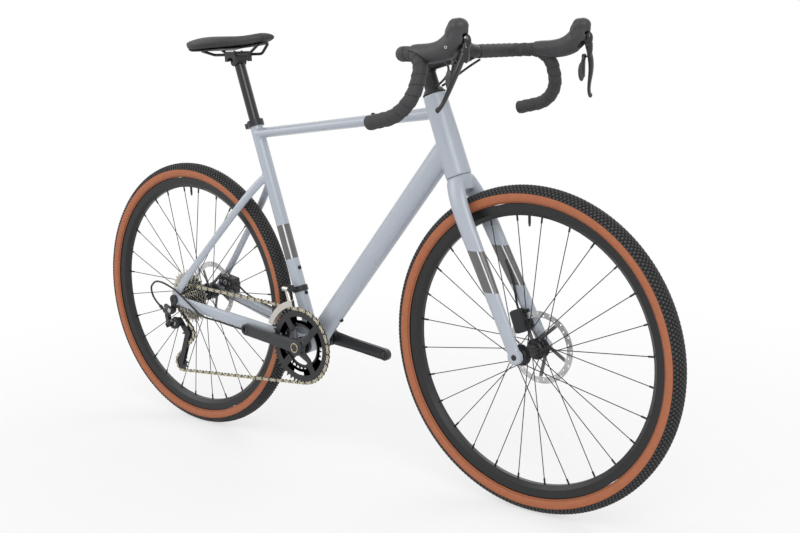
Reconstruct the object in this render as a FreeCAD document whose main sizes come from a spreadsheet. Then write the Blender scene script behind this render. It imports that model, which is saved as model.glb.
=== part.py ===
import FreeCAD, Part
import math
import os
import Sketcher
from FreeCAD import Placement, Rotation, Vector

# Gravel bike with drop handlebar, disc brakes, double chainrings and no pedals.
# Millimetres. The origin is on the ground midway between the axles, +X points
# forward, +Y to the rider's left and +Z up.

SIZES = {
    # Wheels and tyres
    "wheelbase": 1072,
    "tyre_radius": 356,
    "tyre_width": 45,
    "tyre_wall": 3,
    "rim_radius": 318,
    "rim_width": 27,
    "rim_depth": 26,
    "rim_wall": 2.5,
    "bead_seat_depth": 7,
    "spoke_count": 28,
    "spoke_diameter": 2,
    "nipple_diameter": 4.2,
    "nipple_length": 12,
    "valve_diameter": 6,
    "valve_length": 42,
    # Hubs, axles and brake rotors
    "axle_diameter": 12,
    "hub_barrel_diameter": 26,
    "hub_flange_diameter": 46,
    "hub_flange_thickness": 3.4,
    "hub_cap_diameter": 19,
    "rotor_boss_diameter": 34,
    "front_hub_width": 100,
    "front_flange_right": 34,
    "front_flange_left": 23,
    "rear_hub_width": 142,
    "rear_flange_right": 19,
    "rear_flange_left": 33,
    "rotor_diameter": 160,
    "rotor_thickness": 1.8,
    "rotor_track": 14,
    "front_rotor_offset": 40,
    "rear_rotor_offset": 57,
    # Frame geometry
    "crank_drop": 71,
    "chainstay_length": 440,
    "seat_angle": 72.2,
    "head_angle": 70.5,
    "fork_offset": 49,
    "fork_length": 404,
    "head_tube_length": 186,
    "seat_tube_length": 562,
    # Frame tubes
    "head_tube_top_diameter": 52,
    "head_tube_bottom_diameter": 58,
    "head_bore": 43,
    "top_tube_width": 40,
    "top_tube_depth": 28,
    "top_tube_seat_drop": 23,
    "top_tube_head_height": 572,
    "down_tube_width": 47,
    "down_tube_depth": 56,
    "down_tube_head_height": 503,
    "seat_tube_diameter": 33,
    "shell_diameter": 43,
    "shell_width": 68,
    "chainstay_depth": 33,
    "chainstay_width": 15,
    "seatstay_depth": 21,
    "seatstay_width": 13,
    "seatstay_height": 412,
    "seatstay_setback": 8,
    "tube_wall": 1.8,
    "dropout_diameter": 32,
    "dropout_thickness": 9,
    "hanger_thickness": 5,
    "hanger_drop": 28,
    # Fork
    "steerer_diameter": 28.6,
    "fork_leg_depth": 42,
    "fork_leg_width": 26,
    "fork_tip_depth": 30,
    "fork_tip_width": 15,
    "fork_tip_diameter": 32,
    "fork_arch_clearance": 8.5,
    # Cockpit
    "headset_cover_height": 13,
    "spacer_diameter": 34,
    "spacer_stack": 36,
    "stem_length": 100,
    "stem_drop_angle": 6,
    "stem_clamp_height": 42,
    "bar_clamp_diameter": 31.8,
    "bar_clamp_width": 44,
    "bar_diameter": 23.8,
    "bar_wall": 2.2,
    "bar_tape_thickness": 3.4,
    "bar_half_width": 208,
    "bar_reach": 78,
    "bar_flare": 23,
    "bar_drop": 122,
    "bar_tail": 110,
    "hood_width": 35,
    "hood_depth": 47,
    "lever_width": 16,
    "lever_thickness": 10,
    # Saddle and seatpost
    "seatpost_diameter": 27.2,
    "seatpost_insert": 120,
    "saddle_rail_height": 706,
    "saddle_length": 264,
    "saddle_width": 140,
    "saddle_nose_width": 38,
    "saddle_setback": 48,
    "saddle_rail_gap": 44,
    "saddle_rail_diameter": 7,
    # Cranks and chain
    "crank_length": 172.5,
    "crank_angle": 172.5,
    "pedal_face": 75.5,
    "pedal_thread_diameter": 14.2,
    "crank_thickness": 13.5,
    "spindle_diameter": 24,
    "large_ring_teeth": 46,
    "small_ring_teeth": 30,
    "chain_plane": 50.6,
    "ring_spacing": 7,
    "ring_thickness": 1.9,
    "ring_bolt_circle": 110,
    "cog_spacing": 3.75,
    "cog_thickness": 1.6,
    "chain_pitch": 12.7,
    "roller_diameter": 7.7,
    "link_plate_thickness": 0.75,
    "link_plate_depth": 8.4,
    # Derailleurs
    "pulley_teeth": 11,
    "pulley_spacing": 93,
    "cage_plate_thickness": 1.6,
    "cage_plate_gap": 7.2,
    "front_cage_clearance": 3,
    # Brakes and cables
    "pad_thickness": 4,
    "pad_gap": 0.5,
    "hose_diameter": 5,
    # Fits
    "running_clearance": 0.05,
    "seat_gap": 0.3,
}

COG_TEETH = (11, 13, 15, 17, 19, 21, 23, 25, 27, 30, 34)
DRIVEN_COG = 4

doc = FreeCAD.newDocument("gravel_bike")
sheet = doc.addObject("Spreadsheet::Sheet", "Sizes")


class Size:
    """A sheet value, or a sum made from sheet values, with the formula that gives it."""

    def __init__(self, value, formula):
        self.value = float(value)
        self.formula = formula

    def joined(self, sign, other, value, reflected=False):
        text = other.formula if isinstance(other, Size) else repr(float(other))
        left, right = (text, self.formula) if reflected else (self.formula, text)
        return Size(value, "(%s %s %s)" % (left, sign, right))

    def __float__(self):
        return self.value

    def __add__(self, other):
        return self.joined("+", other, self.value + float(other))

    def __radd__(self, other):
        return self.joined("+", other, self.value + float(other), True)

    def __sub__(self, other):
        return self.joined("-", other, self.value - float(other))

    def __rsub__(self, other):
        return self.joined("-", other, float(other) - self.value, True)

    def __mul__(self, other):
        return self.joined("*", other, self.value * float(other))

    def __rmul__(self, other):
        return self.joined("*", other, self.value * float(other), True)

    def __truediv__(self, other):
        return self.joined("/", other, self.value / float(other))

    def __neg__(self):
        return Size(-self.value, "(-%s)" % self.formula)


class Dimensions:
    """The driving sizes by name."""


d = Dimensions()
for row, (alias, number) in enumerate(SIZES.items(), start=1):
    sheet.set("A%d" % row, alias)
    sheet.set("B%d" % row, repr(number))
    sheet.setAlias("B%d" % row, alias)
    setattr(d, alias, Size(number, "Sizes.%s" % alias))
doc.recompute()

sub_parts = []


def finish(label, item):
    """Name a finished sub-part and put it on the list of files to write."""
    item.Label = label
    sub_parts.append(item)
    return item


def at(x, y, z):
    """A point from sizes or plain numbers."""
    return Vector(float(x), float(y), float(z))


def bind(item, **sizes):
    """Set properties, and tie those that come from the sheet to their formulas."""
    for name, size in sizes.items():
        setattr(item, name, float(size))
        if isinstance(size, Size):
            item.setExpression(name, size.formula)
    return item


def added(kind, name, place=None):
    item = doc.addObject(kind, name)
    if place is not None:
        item.Placement = place
    return item


def cylinder(name, radius, height, place):
    return bind(added("Part::Cylinder", name, place), Radius=radius, Height=height)


def cone(name, radius1, radius2, height, place):
    return bind(added("Part::Cone", name, place), Radius1=radius1, Radius2=radius2, Height=height)


def torus(name, ring, section, place):
    return bind(added("Part::Torus", name, place), Radius1=ring, Radius2=section)


def box(name, length, width, height, place):
    """A box centred on its placement."""
    middle = Placement(at(-length / 2, -width / 2, -height / 2), Rotation())
    item = added("Part::Box", name, place.multiply(middle))
    return bind(item, Length=length, Width=width, Height=height)


def fuse(name, *pieces):
    item = added("Part::MultiFuse", name)
    item.Shapes = list(pieces)
    return item


def cut(name, base, *tools):
    item = added("Part::Cut", name)
    item.Base = base
    item.Tool = tools[0] if len(tools) == 1 else fuse(name + "_tools", *tools)
    return item


def common(name, *pieces):
    item = added("Part::MultiCommon", name)
    item.Shapes = list(pieces)
    return item


def group(name, *pieces):
    """Separate solids kept in one sub-part."""
    item = added("Part::Compound", name)
    item.Links = list(pieces)
    return item


def shaped(name, shape, place=None):
    item = added("Part::Feature", name)
    item.Shape = shape
    if place is not None:
        item.Placement = place
    return item


def turned(name, outline, place):
    """A body turned about its own Z axis from an outline of (radius, height) points."""
    body = added("PartDesign::Body", name)
    sketch = body.newObject("Sketcher::SketchObject", name + "_outline")
    plane = [item for item in body.Origin.OriginFeatures if item.Role == "XZ_Plane"][0]
    sketch.AttachmentSupport = [(plane, "")]
    sketch.MapMode = "FlatFace"
    corners = [at(radius, height, 0) for radius, height in outline]
    count = len(corners)
    for index in range(count):
        line = Part.LineSegment(corners[index], corners[(index + 1) % count])
        sketch.addGeometry(line, False)
    for index in range(count):
        sketch.addConstraint(Sketcher.Constraint("Coincident", index, 2, (index + 1) % count, 1))
    for index, sizes in enumerate(outline):
        for direction, size in zip(("DistanceX", "DistanceY"), sizes):
            rule = Sketcher.Constraint(direction, -1, 1, index, 1, float(size))
            number = sketch.addConstraint(rule)
            if isinstance(size, Size):
                sketch.setExpression("Constraints[%d]" % number, size.formula)
    turn = body.newObject("PartDesign::Revolution", name + "_turn")
    turn.Profile = sketch
    turn.ReferenceAxis = (sketch, ["V_Axis"])
    turn.Angle = 360
    body.Placement = place
    return body


def facing(point, direction, side=Vector(0, 1, 0)):
    """Placement at a point with local Z along a direction and local Y near a side."""
    along = Vector(direction).normalize()
    over = side - along * along.dot(side)
    over.normalize()
    return Placement(point, Rotation(over.cross(along), over, along, "ZYX"))


def loft(name, stations, ruled=False, side=Vector(0, 1, 0)):
    """A solid through ovals; a station is (point, width along the side, depth)."""
    points = [station[0] for station in stations]
    flat = float(stations[0][1]) > float(stations[0][2])
    ovals = []
    for index, (point, width, depth) in enumerate(stations):
        ahead = points[min(index + 1, len(points) - 1)]
        behind = points[max(index - 1, 0)]
        place = facing(point, ahead - behind, side)
        if flat:
            place = place.multiply(Placement(Vector(), Rotation(Vector(0, 0, 1), 90)))
        oval = added("Part::Ellipse", "%s_oval_%d" % (name, index), place)
        longer, shorter = (width, depth) if flat else (depth, width)
        ovals.append(bind(oval, MajorRadius=longer / 2, MinorRadius=shorter / 2))
    item = added("Part::Loft", name)
    item.Sections = ovals
    item.Solid = True
    item.Ruled = ruled
    return item


def thinner(stations, wall):
    """The same stations drawn in by a wall, for the inside of a tube."""
    return [(point, width - 2 * wall, depth - 2 * wall) for point, width, depth in stations]


def rounded_path(points, radii=None):
    """A wire of straight runs joined by tangent arcs, and the radii that it has."""
    edges = []
    used = []
    start = points[0]
    for index in range(1, len(points) - 1):
        corner = points[index]
        back = points[index - 1] - corner
        forth = points[index + 1] - corner
        shorter = min(back.Length, forth.Length)
        half_turn = (math.pi - back.getAngle(forth)) / 2
        radius = radii[index - 1] if radii else 0.45 * shorter / math.tan(half_turn)
        reach = radius * math.tan(half_turn)
        back.normalize()
        forth.normalize()
        inward = (back + forth).normalize()
        first = corner + back * reach
        middle = corner + inward * (radius / math.cos(half_turn) - radius)
        last = corner + forth * reach
        edges.append(Part.LineSegment(start, first).toShape())
        edges.append(Part.Arc(first, middle, last).toShape())
        used.append(radius)
        start = last
    edges.append(Part.LineSegment(start, points[-1]).toShape())
    return Part.Wire(edges), used


def swept(name, points, radius, radii=None):
    """A round bar or hose along straight runs and arcs."""
    wire, used = rounded_path(points, radii)
    path = shaped(name + "_path", wire)
    ring = added("Part::Circle", name + "_ring", facing(points[0], points[1] - points[0], Vector(1, 1, 1)))
    bind(ring, Radius=radius)
    item = added("Part::Sweep", name)
    item.Sections = [ring]
    item.Spine = (path, ["Edge%d" % (edge + 1) for edge in range(len(wire.Edges))])
    item.Solid = True
    if radii is None:
        print("%s length %.0f, radii %s" % (name, wire.Length, [round(value) for value in used]))
    return item


# Reference points and frames

ACROSS = Rotation(Vector(1, 0, 0), -90)


def across(point):
    """Placement whose local Z runs along +Y, for what turns about an axle."""
    return Placement(point, ACROSS)


half_base = d.wheelbase / 2
REAR_AXLE = at(-half_base, 0, d.tyre_radius)
FRONT_AXLE = at(half_base, 0, d.tyre_radius)
stay_run = math.sqrt(float(d.chainstay_length) ** 2 - float(d.crank_drop) ** 2)
CRANK_AXLE = REAR_AXLE + at(stay_run, 0, -d.crank_drop)

STEER_TURN = Rotation(Vector(0, 1, 0), float(d.head_angle) - 90)
STEER = Placement(FRONT_AXLE - STEER_TURN.multVec(at(d.fork_offset, 0, 0)), STEER_TURN)
SEAT_TURN = Rotation(Vector(0, 1, 0), float(d.seat_angle) - 90)
SEAT = Placement(CRANK_AXLE, SEAT_TURN)
head_top = d.fork_length + d.head_tube_length


def steer_point(x, y, z):
    """A point in the fork's frame: forward of, beside and up along the steering axis."""
    return STEER.multVec(at(x, y, z))


def seat_point(x, y, z):
    """A point in the seat tube's frame, measured from the crank axle."""
    return SEAT.multVec(at(x, y, z))


def in_frame(frame, x, y, z, turn=Rotation()):
    return frame.multiply(Placement(at(x, y, z), turn))


def steer_axis_at(height):
    """The point of the steering axis at a height above the crank axle."""
    base = STEER.Base
    up = STEER_TURN.multVec(Vector(0, 0, 1))
    return base + up * ((CRANK_AXLE.z + float(height) - base.z) / up.z)


def seat_axis_at(height):
    """The point of the seat tube's axis at a height above the crank axle."""
    up = SEAT_TURN.multVec(Vector(0, 0, 1))
    return CRANK_AXLE + up * (float(height) / up.z)


# Wheels

def wheel_tyre(prefix, axle):
    """Hollow casing, open where its two beads sit on the rim."""
    place = across(axle)
    ring = d.tyre_radius - d.tyre_width / 2
    casing = torus(prefix + "_casing", ring, d.tyre_width / 2, place)
    inside = torus(prefix + "_air", ring, d.tyre_width / 2 - d.tyre_wall, place)
    bed_place = across(axle - at(0, d.tyre_width, 0))
    bed = cylinder(prefix + "_bead_line", d.rim_radius + d.seat_gap, d.tyre_width * 2, bed_place)
    finish(prefix + "_tyre", cut(prefix + "_tyre", casing, inside, bed))


def wheel_rim(prefix, axle):
    """Box rim with a bead channel, and a valve through it at the top."""
    half = d.rim_width / 2
    inner = d.rim_radius - d.rim_depth
    floor = d.rim_radius - d.bead_seat_depth
    outline = [
        (inner, -half * 0.35), (inner, half * 0.35),
        (inner + d.rim_depth * 0.35, half * 0.9), (d.rim_radius, half),
        (d.rim_radius, half - d.rim_wall), (floor, half - d.rim_wall),
        (floor, d.rim_wall - half), (d.rim_radius, d.rim_wall - half),
        (d.rim_radius, -half), (inner + d.rim_depth * 0.35, -half * 0.9),
    ]
    ring = turned(prefix + "_rim_ring", outline, across(axle))
    top = axle + at(0, 0, floor)
    hole = cylinder(prefix + "_valve_hole", d.valve_diameter / 2, d.valve_length + d.bead_seat_depth,
                    Placement(top - at(0, 0, d.valve_length), Rotation()))
    valve = turned(prefix + "_valve", [
        (0, -d.valve_length), (d.valve_diameter * 0.35, -d.valve_length),
        (d.valve_diameter / 2, -d.valve_length * 0.8), (d.valve_diameter / 2, 3), (0, 3),
    ], Placement(top, Rotation()))
    finish(prefix + "_rim", group(prefix + "_rim", cut(prefix + "_rim_drilled", ring, hole), valve))


def wheel_spokes(prefix, axle, flange_right, flange_left):
    """Crossed spokes with nipples, every second one on each face of a flange."""
    count = int(float(d.spoke_count))
    step = 2 * math.pi / count
    spoke = float(d.spoke_diameter) / 2
    nipple = float(d.nipple_diameter) / 2
    hole_radius = float(d.hub_flange_diameter) / 2 - 4
    end_radius = float(d.rim_radius - d.rim_depth - d.seat_gap)
    close = float(d.hub_flange_thickness) / 2 + spoke + float(d.seat_gap)
    spokes = []
    for side, flange in ((-1, flange_right), (1, flange_left)):
        for number in range(count // 2):
            lean = 1 if number % 2 else -1
            hub_angle = math.pi / 2 + step * (2 * number + (0.5 if side > 0 else 1.5))
            rim_angle = hub_angle + 4 * step * lean
            beside = close + (0.05 * float(flange) if lean > 0 else 0)
            hub = at(hole_radius * math.cos(hub_angle), side * (float(flange) + lean * beside),
                     hole_radius * math.sin(hub_angle))
            rim = at(end_radius * math.cos(rim_angle), side * 2.5, end_radius * math.sin(rim_angle))
            length = (rim - hub).Length
            neck = length - float(d.nipple_length)
            half = Part.makePolygon([
                Vector(), at(spoke, 0, 0), at(spoke, 0, neck), at(nipple, 0, neck),
                at(nipple, 0, length), at(0, 0, length), Vector(),
            ])
            solid = Part.Face(half).revolve(Vector(), Vector(0, 0, 1), 360)
            solid.Placement = facing(hub, rim - hub)
            spokes.append(solid)
    finish(prefix + "_spokes", shaped(prefix + "_spokes", Part.makeCompound(spokes),
                                      Placement(axle, Rotation())))


def hub_outline(right, left, right_end, left_end, rotor_offset):
    """Half section of a hub shell: end caps, flanges, barrel and rotor boss."""
    bore = d.axle_diameter / 2 + d.running_clearance
    cap = d.hub_cap_diameter / 2
    flange = d.hub_flange_diameter / 2
    hole = flange - 7
    barrel = d.hub_barrel_diameter / 2
    boss = d.rotor_boss_diameter / 2
    half = d.hub_flange_thickness / 2
    return [
        (bore, -right_end), (cap, -right_end), (cap, -right - 4), (barrel, -right - half),
        (flange, -right - half), (flange, -right + half), (hole, -right + half),
        (barrel, -right + half * 3), (barrel, left - half * 3), (hole, left - half),
        (flange, left - half), (flange, left + half),
        (boss, left + half), (boss, rotor_offset + d.rotor_thickness / 2),
        (cap, rotor_offset + d.rotor_thickness / 2), (cap, left_end), (bore, left_end),
    ]


def wheel_rotor(prefix, axle, offset):
    """Brake disc: drilled track, carrier arms, centre ring and lock ring."""
    thick = d.rotor_thickness
    outer = d.rotor_diameter / 2
    start = axle + at(0, offset - thick / 2, 0)
    bore = d.rotor_boss_diameter / 2 + d.running_clearance
    track = cut(prefix + "_track", cylinder(prefix + "_disc", outer, thick, across(start)),
                cylinder(prefix + "_window", outer - d.rotor_track, thick, across(start)))
    centre = cylinder(prefix + "_centre", bore + 6, thick, across(start))
    arms = []
    reach = outer - d.rotor_track / 2 - bore
    for number in range(5):
        turn = Rotation(Vector(0, 1, 0), 72 * number + 20)
        middle = axle + at(0, offset, 0) + turn.multVec(at(bore + reach / 2, 0, 6))
        arms.append(box("%s_arm_%d" % (prefix, number), reach, thick, 8,
                        Placement(middle, turn.multiply(Rotation(Vector(0, 1, 0), 12)))))
    holes = []
    for number in range(30):
        turn = Rotation(Vector(0, 1, 0), 12 * number)
        radius = outer - d.rotor_track * (0.32, 0.68)[number % 2]
        middle = start + turn.multVec(at(radius, 0, 0))
        holes.append(cylinder("%s_vent_%d" % (prefix, number), 2.2, thick, across(middle)))
    bore_tool = cylinder(prefix + "_rotor_bore", bore, thick, across(start))
    disc = cut(prefix + "_rotor_disc", fuse(prefix + "_rotor_blank", track, centre, *arms),
               bore_tool, *holes)
    cap = d.hub_cap_diameter / 2 + d.running_clearance
    ring = turned(prefix + "_lock_ring", [
        (cap, 0), (bore + 4, 0), (bore + 4, 2), (bore, 3.5), (cap, 3.5),
    ], across(start + at(0, thick + d.running_clearance, 0)))
    finish(prefix + "_rotor", group(prefix + "_rotor", disc, ring))


front_end = d.front_hub_width / 2 - d.seat_gap
rear_end = d.rear_hub_width / 2 - d.seat_gap
freehub_start = d.rear_flange_right + 5

wheel_tyre("front", FRONT_AXLE)
wheel_rim("front", FRONT_AXLE)
wheel_spokes("front", FRONT_AXLE, d.front_flange_right, d.front_flange_left)
wheel_rotor("front", FRONT_AXLE, d.front_rotor_offset)
finish("front_hub", turned("front_hub", hub_outline(
    d.front_flange_right, d.front_flange_left, front_end, front_end, d.front_rotor_offset),
    across(FRONT_AXLE)))

wheel_tyre("rear", REAR_AXLE)
wheel_rim("rear", REAR_AXLE)
wheel_spokes("rear", REAR_AXLE, d.rear_flange_right, d.rear_flange_left)
wheel_rotor("rear", REAR_AXLE, d.rear_rotor_offset)
finish("rear_hub", turned("rear_hub", hub_outline(
    d.rear_flange_right, d.rear_flange_left, freehub_start, rear_end, d.rear_rotor_offset),
    across(REAR_AXLE)))


def thru_axle(name, axle, right_end, left_end):
    """Bolt-through axle with a round head and a key socket on the left."""
    shaft = d.axle_diameter / 2
    finish(name, turned(name, [
        (0, -right_end), (shaft, -right_end), (shaft, left_end), (shaft + 4, left_end),
        (shaft + 4, left_end + 3), (shaft, left_end + 5), (shaft / 2, left_end + 5),
        (shaft / 2, left_end + 1), (0, left_end + 1),
    ], across(axle)))


fork_face = d.front_hub_width / 2 + d.fork_tip_width
stay_face = d.rear_hub_width / 2 + d.dropout_thickness
hanger_face = stay_face + d.seat_gap + d.hanger_thickness
thru_axle("front_thru_axle", FRONT_AXLE, fork_face - 1, fork_face)
thru_axle("rear_thru_axle", REAR_AXLE, hanger_face - 1, stay_face)

# Frame: outer forms first, then each tube hollow and coped to its neighbours

axle_bore = d.axle_diameter / 2 + d.running_clearance


def cross_bore(name, axle, reach):
    """Hole along an axle line, through both sides of the frame or fork."""
    return cylinder(name, axle_bore, reach * 2, across(axle - at(0, reach, 0)))


head_outer = cone("head_outer", d.head_tube_bottom_diameter / 2, d.head_tube_top_diameter / 2,
                  d.head_tube_length, in_frame(STEER, 0, 0, d.fork_length))
head_hole = cylinder("head_hole", d.head_bore / 2, d.head_tube_length, in_frame(STEER, 0, 0, d.fork_length))
shell_outer = cylinder("shell_outer", d.shell_diameter / 2, d.shell_width,
                       across(CRANK_AXLE - at(0, d.shell_width / 2, 0)))
shell_hole = cylinder("shell_hole", d.shell_diameter / 2 - 4, d.shell_width,
                      across(CRANK_AXLE - at(0, d.shell_width / 2, 0)))
seat_outer = cylinder("seat_outer", d.seat_tube_diameter / 2, d.seat_tube_length, in_frame(SEAT, 0, 0, 0))
seat_hole = cylinder("seat_hole", d.seatpost_diameter / 2 + d.running_clearance, d.seat_tube_length,
                     in_frame(SEAT, 0, 0, 0))

seat_rise = SEAT.multVec(at(0, 0, d.seat_tube_length)).z - CRANK_AXLE.z
top_tube_seat_height = seat_rise - float(d.top_tube_seat_drop)
top_stations = [
    (seat_axis_at(top_tube_seat_height), d.top_tube_width * 0.85, d.top_tube_depth * 0.82),
    (steer_axis_at(d.top_tube_head_height), d.top_tube_width, d.top_tube_depth),
]
down_stations = [
    (CRANK_AXLE, d.down_tube_width, d.down_tube_depth * 0.95),
    (steer_axis_at(d.down_tube_head_height), d.down_tube_width, d.down_tube_depth),
]
top_outer = loft("top_outer", top_stations, True)
top_core = loft("top_core", thinner(top_stations, d.tube_wall), True)
down_outer = loft("down_outer", down_stations, True)
down_core = loft("down_core", thinner(down_stations, d.tube_wall), True)

finish("head_tube", cut("head_tube", head_outer, head_hole))
finish("top_tube", cut("top_tube", top_outer, top_core, head_outer, seat_outer))
finish("down_tube", cut("down_tube", down_outer, down_core, head_outer, shell_outer, top_outer))
finish("seat_tube", cut("seat_tube", seat_outer, seat_hole, shell_outer, down_outer))
finish("bottom_bracket_shell", cut("bottom_bracket_shell", shell_outer, shell_hole))

# Stays: each pair clears the tyre, the rotor and the chainrings
drop_mid = d.rear_hub_width / 2 + d.dropout_thickness / 2


def stay_point(share, side, out, lift=0):
    """A point beside the line from the crank axle to the rear axle."""
    return CRANK_AXLE + (REAR_AXLE - CRANK_AXLE) * share + at(0, side * float(out), lift)


def seatstay_point(share, side, out):
    """A point beside the line from the seat tube to the rear axle."""
    top = seat_axis_at(d.seatstay_height)
    low = REAR_AXLE - at(d.seatstay_setback, 0, 0)
    return top + (low - top) * share + at(0, side * float(out), 0)


tyre_side = d.tyre_width / 2 + 4
STAY_FORM = (
    (0.03, d.shell_width / 2 - 14, d.chainstay_width + 4, d.chainstay_depth + 5),
    (0.21, tyre_side + d.chainstay_width / 2 - 0.5, d.chainstay_width - 1, d.chainstay_depth),
    (0.5, drop_mid - 23, d.chainstay_width + 3, d.chainstay_depth),
    (0.8, drop_mid - 6, d.chainstay_width - 3, d.chainstay_depth - 3),
    (1.0, drop_mid, d.dropout_thickness, d.chainstay_depth - 5),
)


def stay_size(share, column):
    """A column of the stay form at any share of its length, by smooth interpolation."""
    total = 0
    for row in STAY_FORM:
        weight = 1
        for other in STAY_FORM:
            if other is not row:
                weight *= (share - other[0]) / (row[0] - other[0])
        total += weight * float(row[column])
    return total


def along_stay(share, side, up):
    """Middle of a hose that lies on the upper or lower edge of a chainstay."""
    lift = stay_size(share, 3) / 2 + float(d.hose_diameter / 2 + d.seat_gap * 3)
    return stay_point(share, side, stay_size(share, 1), up * lift)


chainstay_outer = {}
chainstay_core = {}
seatstay_outer = {}
seatstay_core = {}
seat_side = d.seat_tube_diameter / 2
beside_tyre = tyre_side + d.seatstay_width / 2 + 10
for side, hand in ((-1, "right"), (1, "left")):
    chain_stations = [(stay_point(share, side, out), width, depth) for share, out, width, depth in STAY_FORM]
    seat_stations = [
        (seatstay_point(0.01, side, seat_side - 10), d.seatstay_width, d.seatstay_depth),
        (seatstay_point(0.09, side, seat_side + 5), d.seatstay_width + 1, d.seatstay_depth + 1),
        (seatstay_point(0.3, side, beside_tyre), d.seatstay_width, d.seatstay_depth),
        (seatstay_point(0.74, side, drop_mid - 5), d.seatstay_width - 1, d.seatstay_depth),
        (seatstay_point(0.97, side, drop_mid), d.dropout_thickness - 2, d.seatstay_depth),
    ]
    drop_start = REAR_AXLE + at(0, side * drop_mid - d.dropout_thickness / 2, 0)
    disc = cylinder("dropout_" + hand, d.dropout_diameter / 2, d.dropout_thickness, across(drop_start))
    stay = loft("chainstay_form_" + hand, chain_stations)
    chainstay_outer[hand] = fuse("chainstay_outer_" + hand, stay, disc)
    chainstay_core[hand] = loft("chainstay_core_" + hand, thinner(chain_stations[:4], d.tube_wall))
    seatstay_outer[hand] = loft("seatstay_outer_" + hand, seat_stations)
    seatstay_core[hand] = loft("seatstay_core_" + hand, thinner(seat_stations[:4], d.tube_wall))

rear_bore = cross_bore("rear_bore", REAR_AXLE, stay_face + 5)
finish("chainstays", group("chainstays", *[
    cut("chainstay_" + hand, chainstay_outer[hand], chainstay_core[hand], shell_outer, seat_outer,
        down_outer, rear_bore) for hand in ("right", "left")]))
finish("seatstays", group("seatstays", *[
    cut("seatstay_" + hand, seatstay_outer[hand], seatstay_core[hand], seat_outer,
        chainstay_outer[hand], rear_bore) for hand in ("right", "left")]))

# Replaceable derailleur hanger, clamped by the axle on the right dropout
hanger_start = REAR_AXLE - at(0, hanger_face, 0)
HANGER_EYE = REAR_AXLE + at(-5, 0, -d.hanger_drop)
hanger_disc = cylinder("hanger_disc", 13, d.hanger_thickness, across(hanger_start))
hanger_eye = cylinder("hanger_eye", 9, d.hanger_thickness,
                      across(Vector(HANGER_EYE.x, hanger_start.y, HANGER_EYE.z)))
hanger_web = box("hanger_web", 16, d.hanger_thickness, d.hanger_drop,
                 Placement((hanger_start + Vector(HANGER_EYE.x, hanger_start.y, HANGER_EYE.z)) * 0.5
                           + at(0, d.hanger_thickness / 2, 0), Rotation()))
hanger_holes = cross_bore("hanger_bore", REAR_AXLE, hanger_face + 5)
finish("derailleur_hanger", cut(
    "derailleur_hanger", fuse("hanger_blank", hanger_disc, hanger_eye, hanger_web), hanger_holes))

# Seat collar with its pinch bolt behind
collar_height = d.seat_tube_length - 6
collar = cylinder("collar_ring", d.seat_tube_diameter / 2 + 4, 15, in_frame(SEAT, 0, 0, collar_height))
collar_ears = box("collar_ears", 14, 20, 13,
                  in_frame(SEAT, -d.seat_tube_diameter / 2 - 6, 0, collar_height + 7.5))
collar_slit = box("collar_slit", 16, 2, 15,
                  in_frame(SEAT, -d.seat_tube_diameter / 2 - 7, 0, collar_height + 7.5))
collar_bore = cylinder("collar_bore", d.seat_tube_diameter / 2 + d.running_clearance, 6,
                       in_frame(SEAT, 0, 0, collar_height))
collar_post = cylinder("collar_post", d.seatpost_diameter / 2 + d.seat_gap, 30,
                       in_frame(SEAT, 0, 0, collar_height))
finish("seat_clamp", cut("seat_clamp", fuse("collar_blank", collar, collar_ears),
                         collar_slit, collar_bore, collar_post))

# Headset bearings in the head tube, and bearing cups in the crank shell
steerer = d.steerer_diameter / 2
race = [(steerer + d.running_clearance, 0), (d.head_bore / 2 - d.running_clearance, 0),
        (d.head_bore / 2 - d.running_clearance, 8), (steerer + d.running_clearance, 8)]
lower_bearing = turned("lower_bearing", race, in_frame(STEER, 0, 0, d.fork_length + 1))
upper_bearing = turned("upper_bearing", race, in_frame(STEER, 0, 0, head_top - 9))
cups = []
spindle = d.spindle_diameter / 2
for side, hand in ((-1, "right"), (1, "left")):
    turn = Rotation(Vector(1, 0, 0), 90) if side < 0 else ACROSS
    cups.append(turned("cup_" + hand, [
        (spindle + d.running_clearance, -20), (d.shell_diameter / 2 - 4 - d.running_clearance, -20),
        (d.shell_diameter / 2 - 4 - d.running_clearance, 0), (d.shell_diameter / 2 + 0.5, 0),
        (d.shell_diameter / 2 + 0.5, 9), (spindle + d.running_clearance, 9),
    ], Placement(CRANK_AXLE + at(0, side * (d.shell_width / 2), 0), turn)))
finish("frame_bearings", group("frame_bearings", lower_bearing, upper_bearing, *cups))

# Button bolts of the bottle and bag mounts
bolt_places = []
for along in (124, 188):
    bolt_places.append(in_frame(SEAT, d.seat_tube_diameter / 2 - 1, 0, along, Rotation(Vector(0, 1, 0), 90)))
down_line = down_stations[1][0] - down_stations[0][0]
down_up = facing(Vector(), down_line).Rotation.multVec(Vector(-1, 0, 0))
under = CRANK_AXLE + Vector(down_line).normalize() * 112
bolt_places.append(facing(under - down_up * (float(d.down_tube_depth) / 2 - 2), -down_up, Vector(0, 1, 0)))
top_line = top_stations[1][0] - top_stations[0][0]
top_up = facing(Vector(), top_line).Rotation.multVec(Vector(-1, 0, 0))
for along in (384, 448):
    spot = top_stations[0][0] + Vector(top_line).normalize() * along
    bolt_places.append(facing(spot + top_up * (float(d.top_tube_depth) / 2 - 2.5), top_up, Vector(0, 1, 0)))
bolt_outline = [(0, 0), (4.8, 0), (4.8, 3.2), (3.2, 5), (1.6, 5), (1.6, 3), (0, 3)]
bolts = [turned("frame_bolt_%d" % number, bolt_outline, place)
         for number, place in enumerate(bolt_places)]
finish("frame_bolts", group("frame_bolts", *[
    cut("seated_bolt_%d" % number, bolt, tube)
    for number, (bolt, tube) in enumerate(zip(bolts, [seat_outer] * 2 + [down_outer] + [top_outer] * 2))]))

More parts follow.
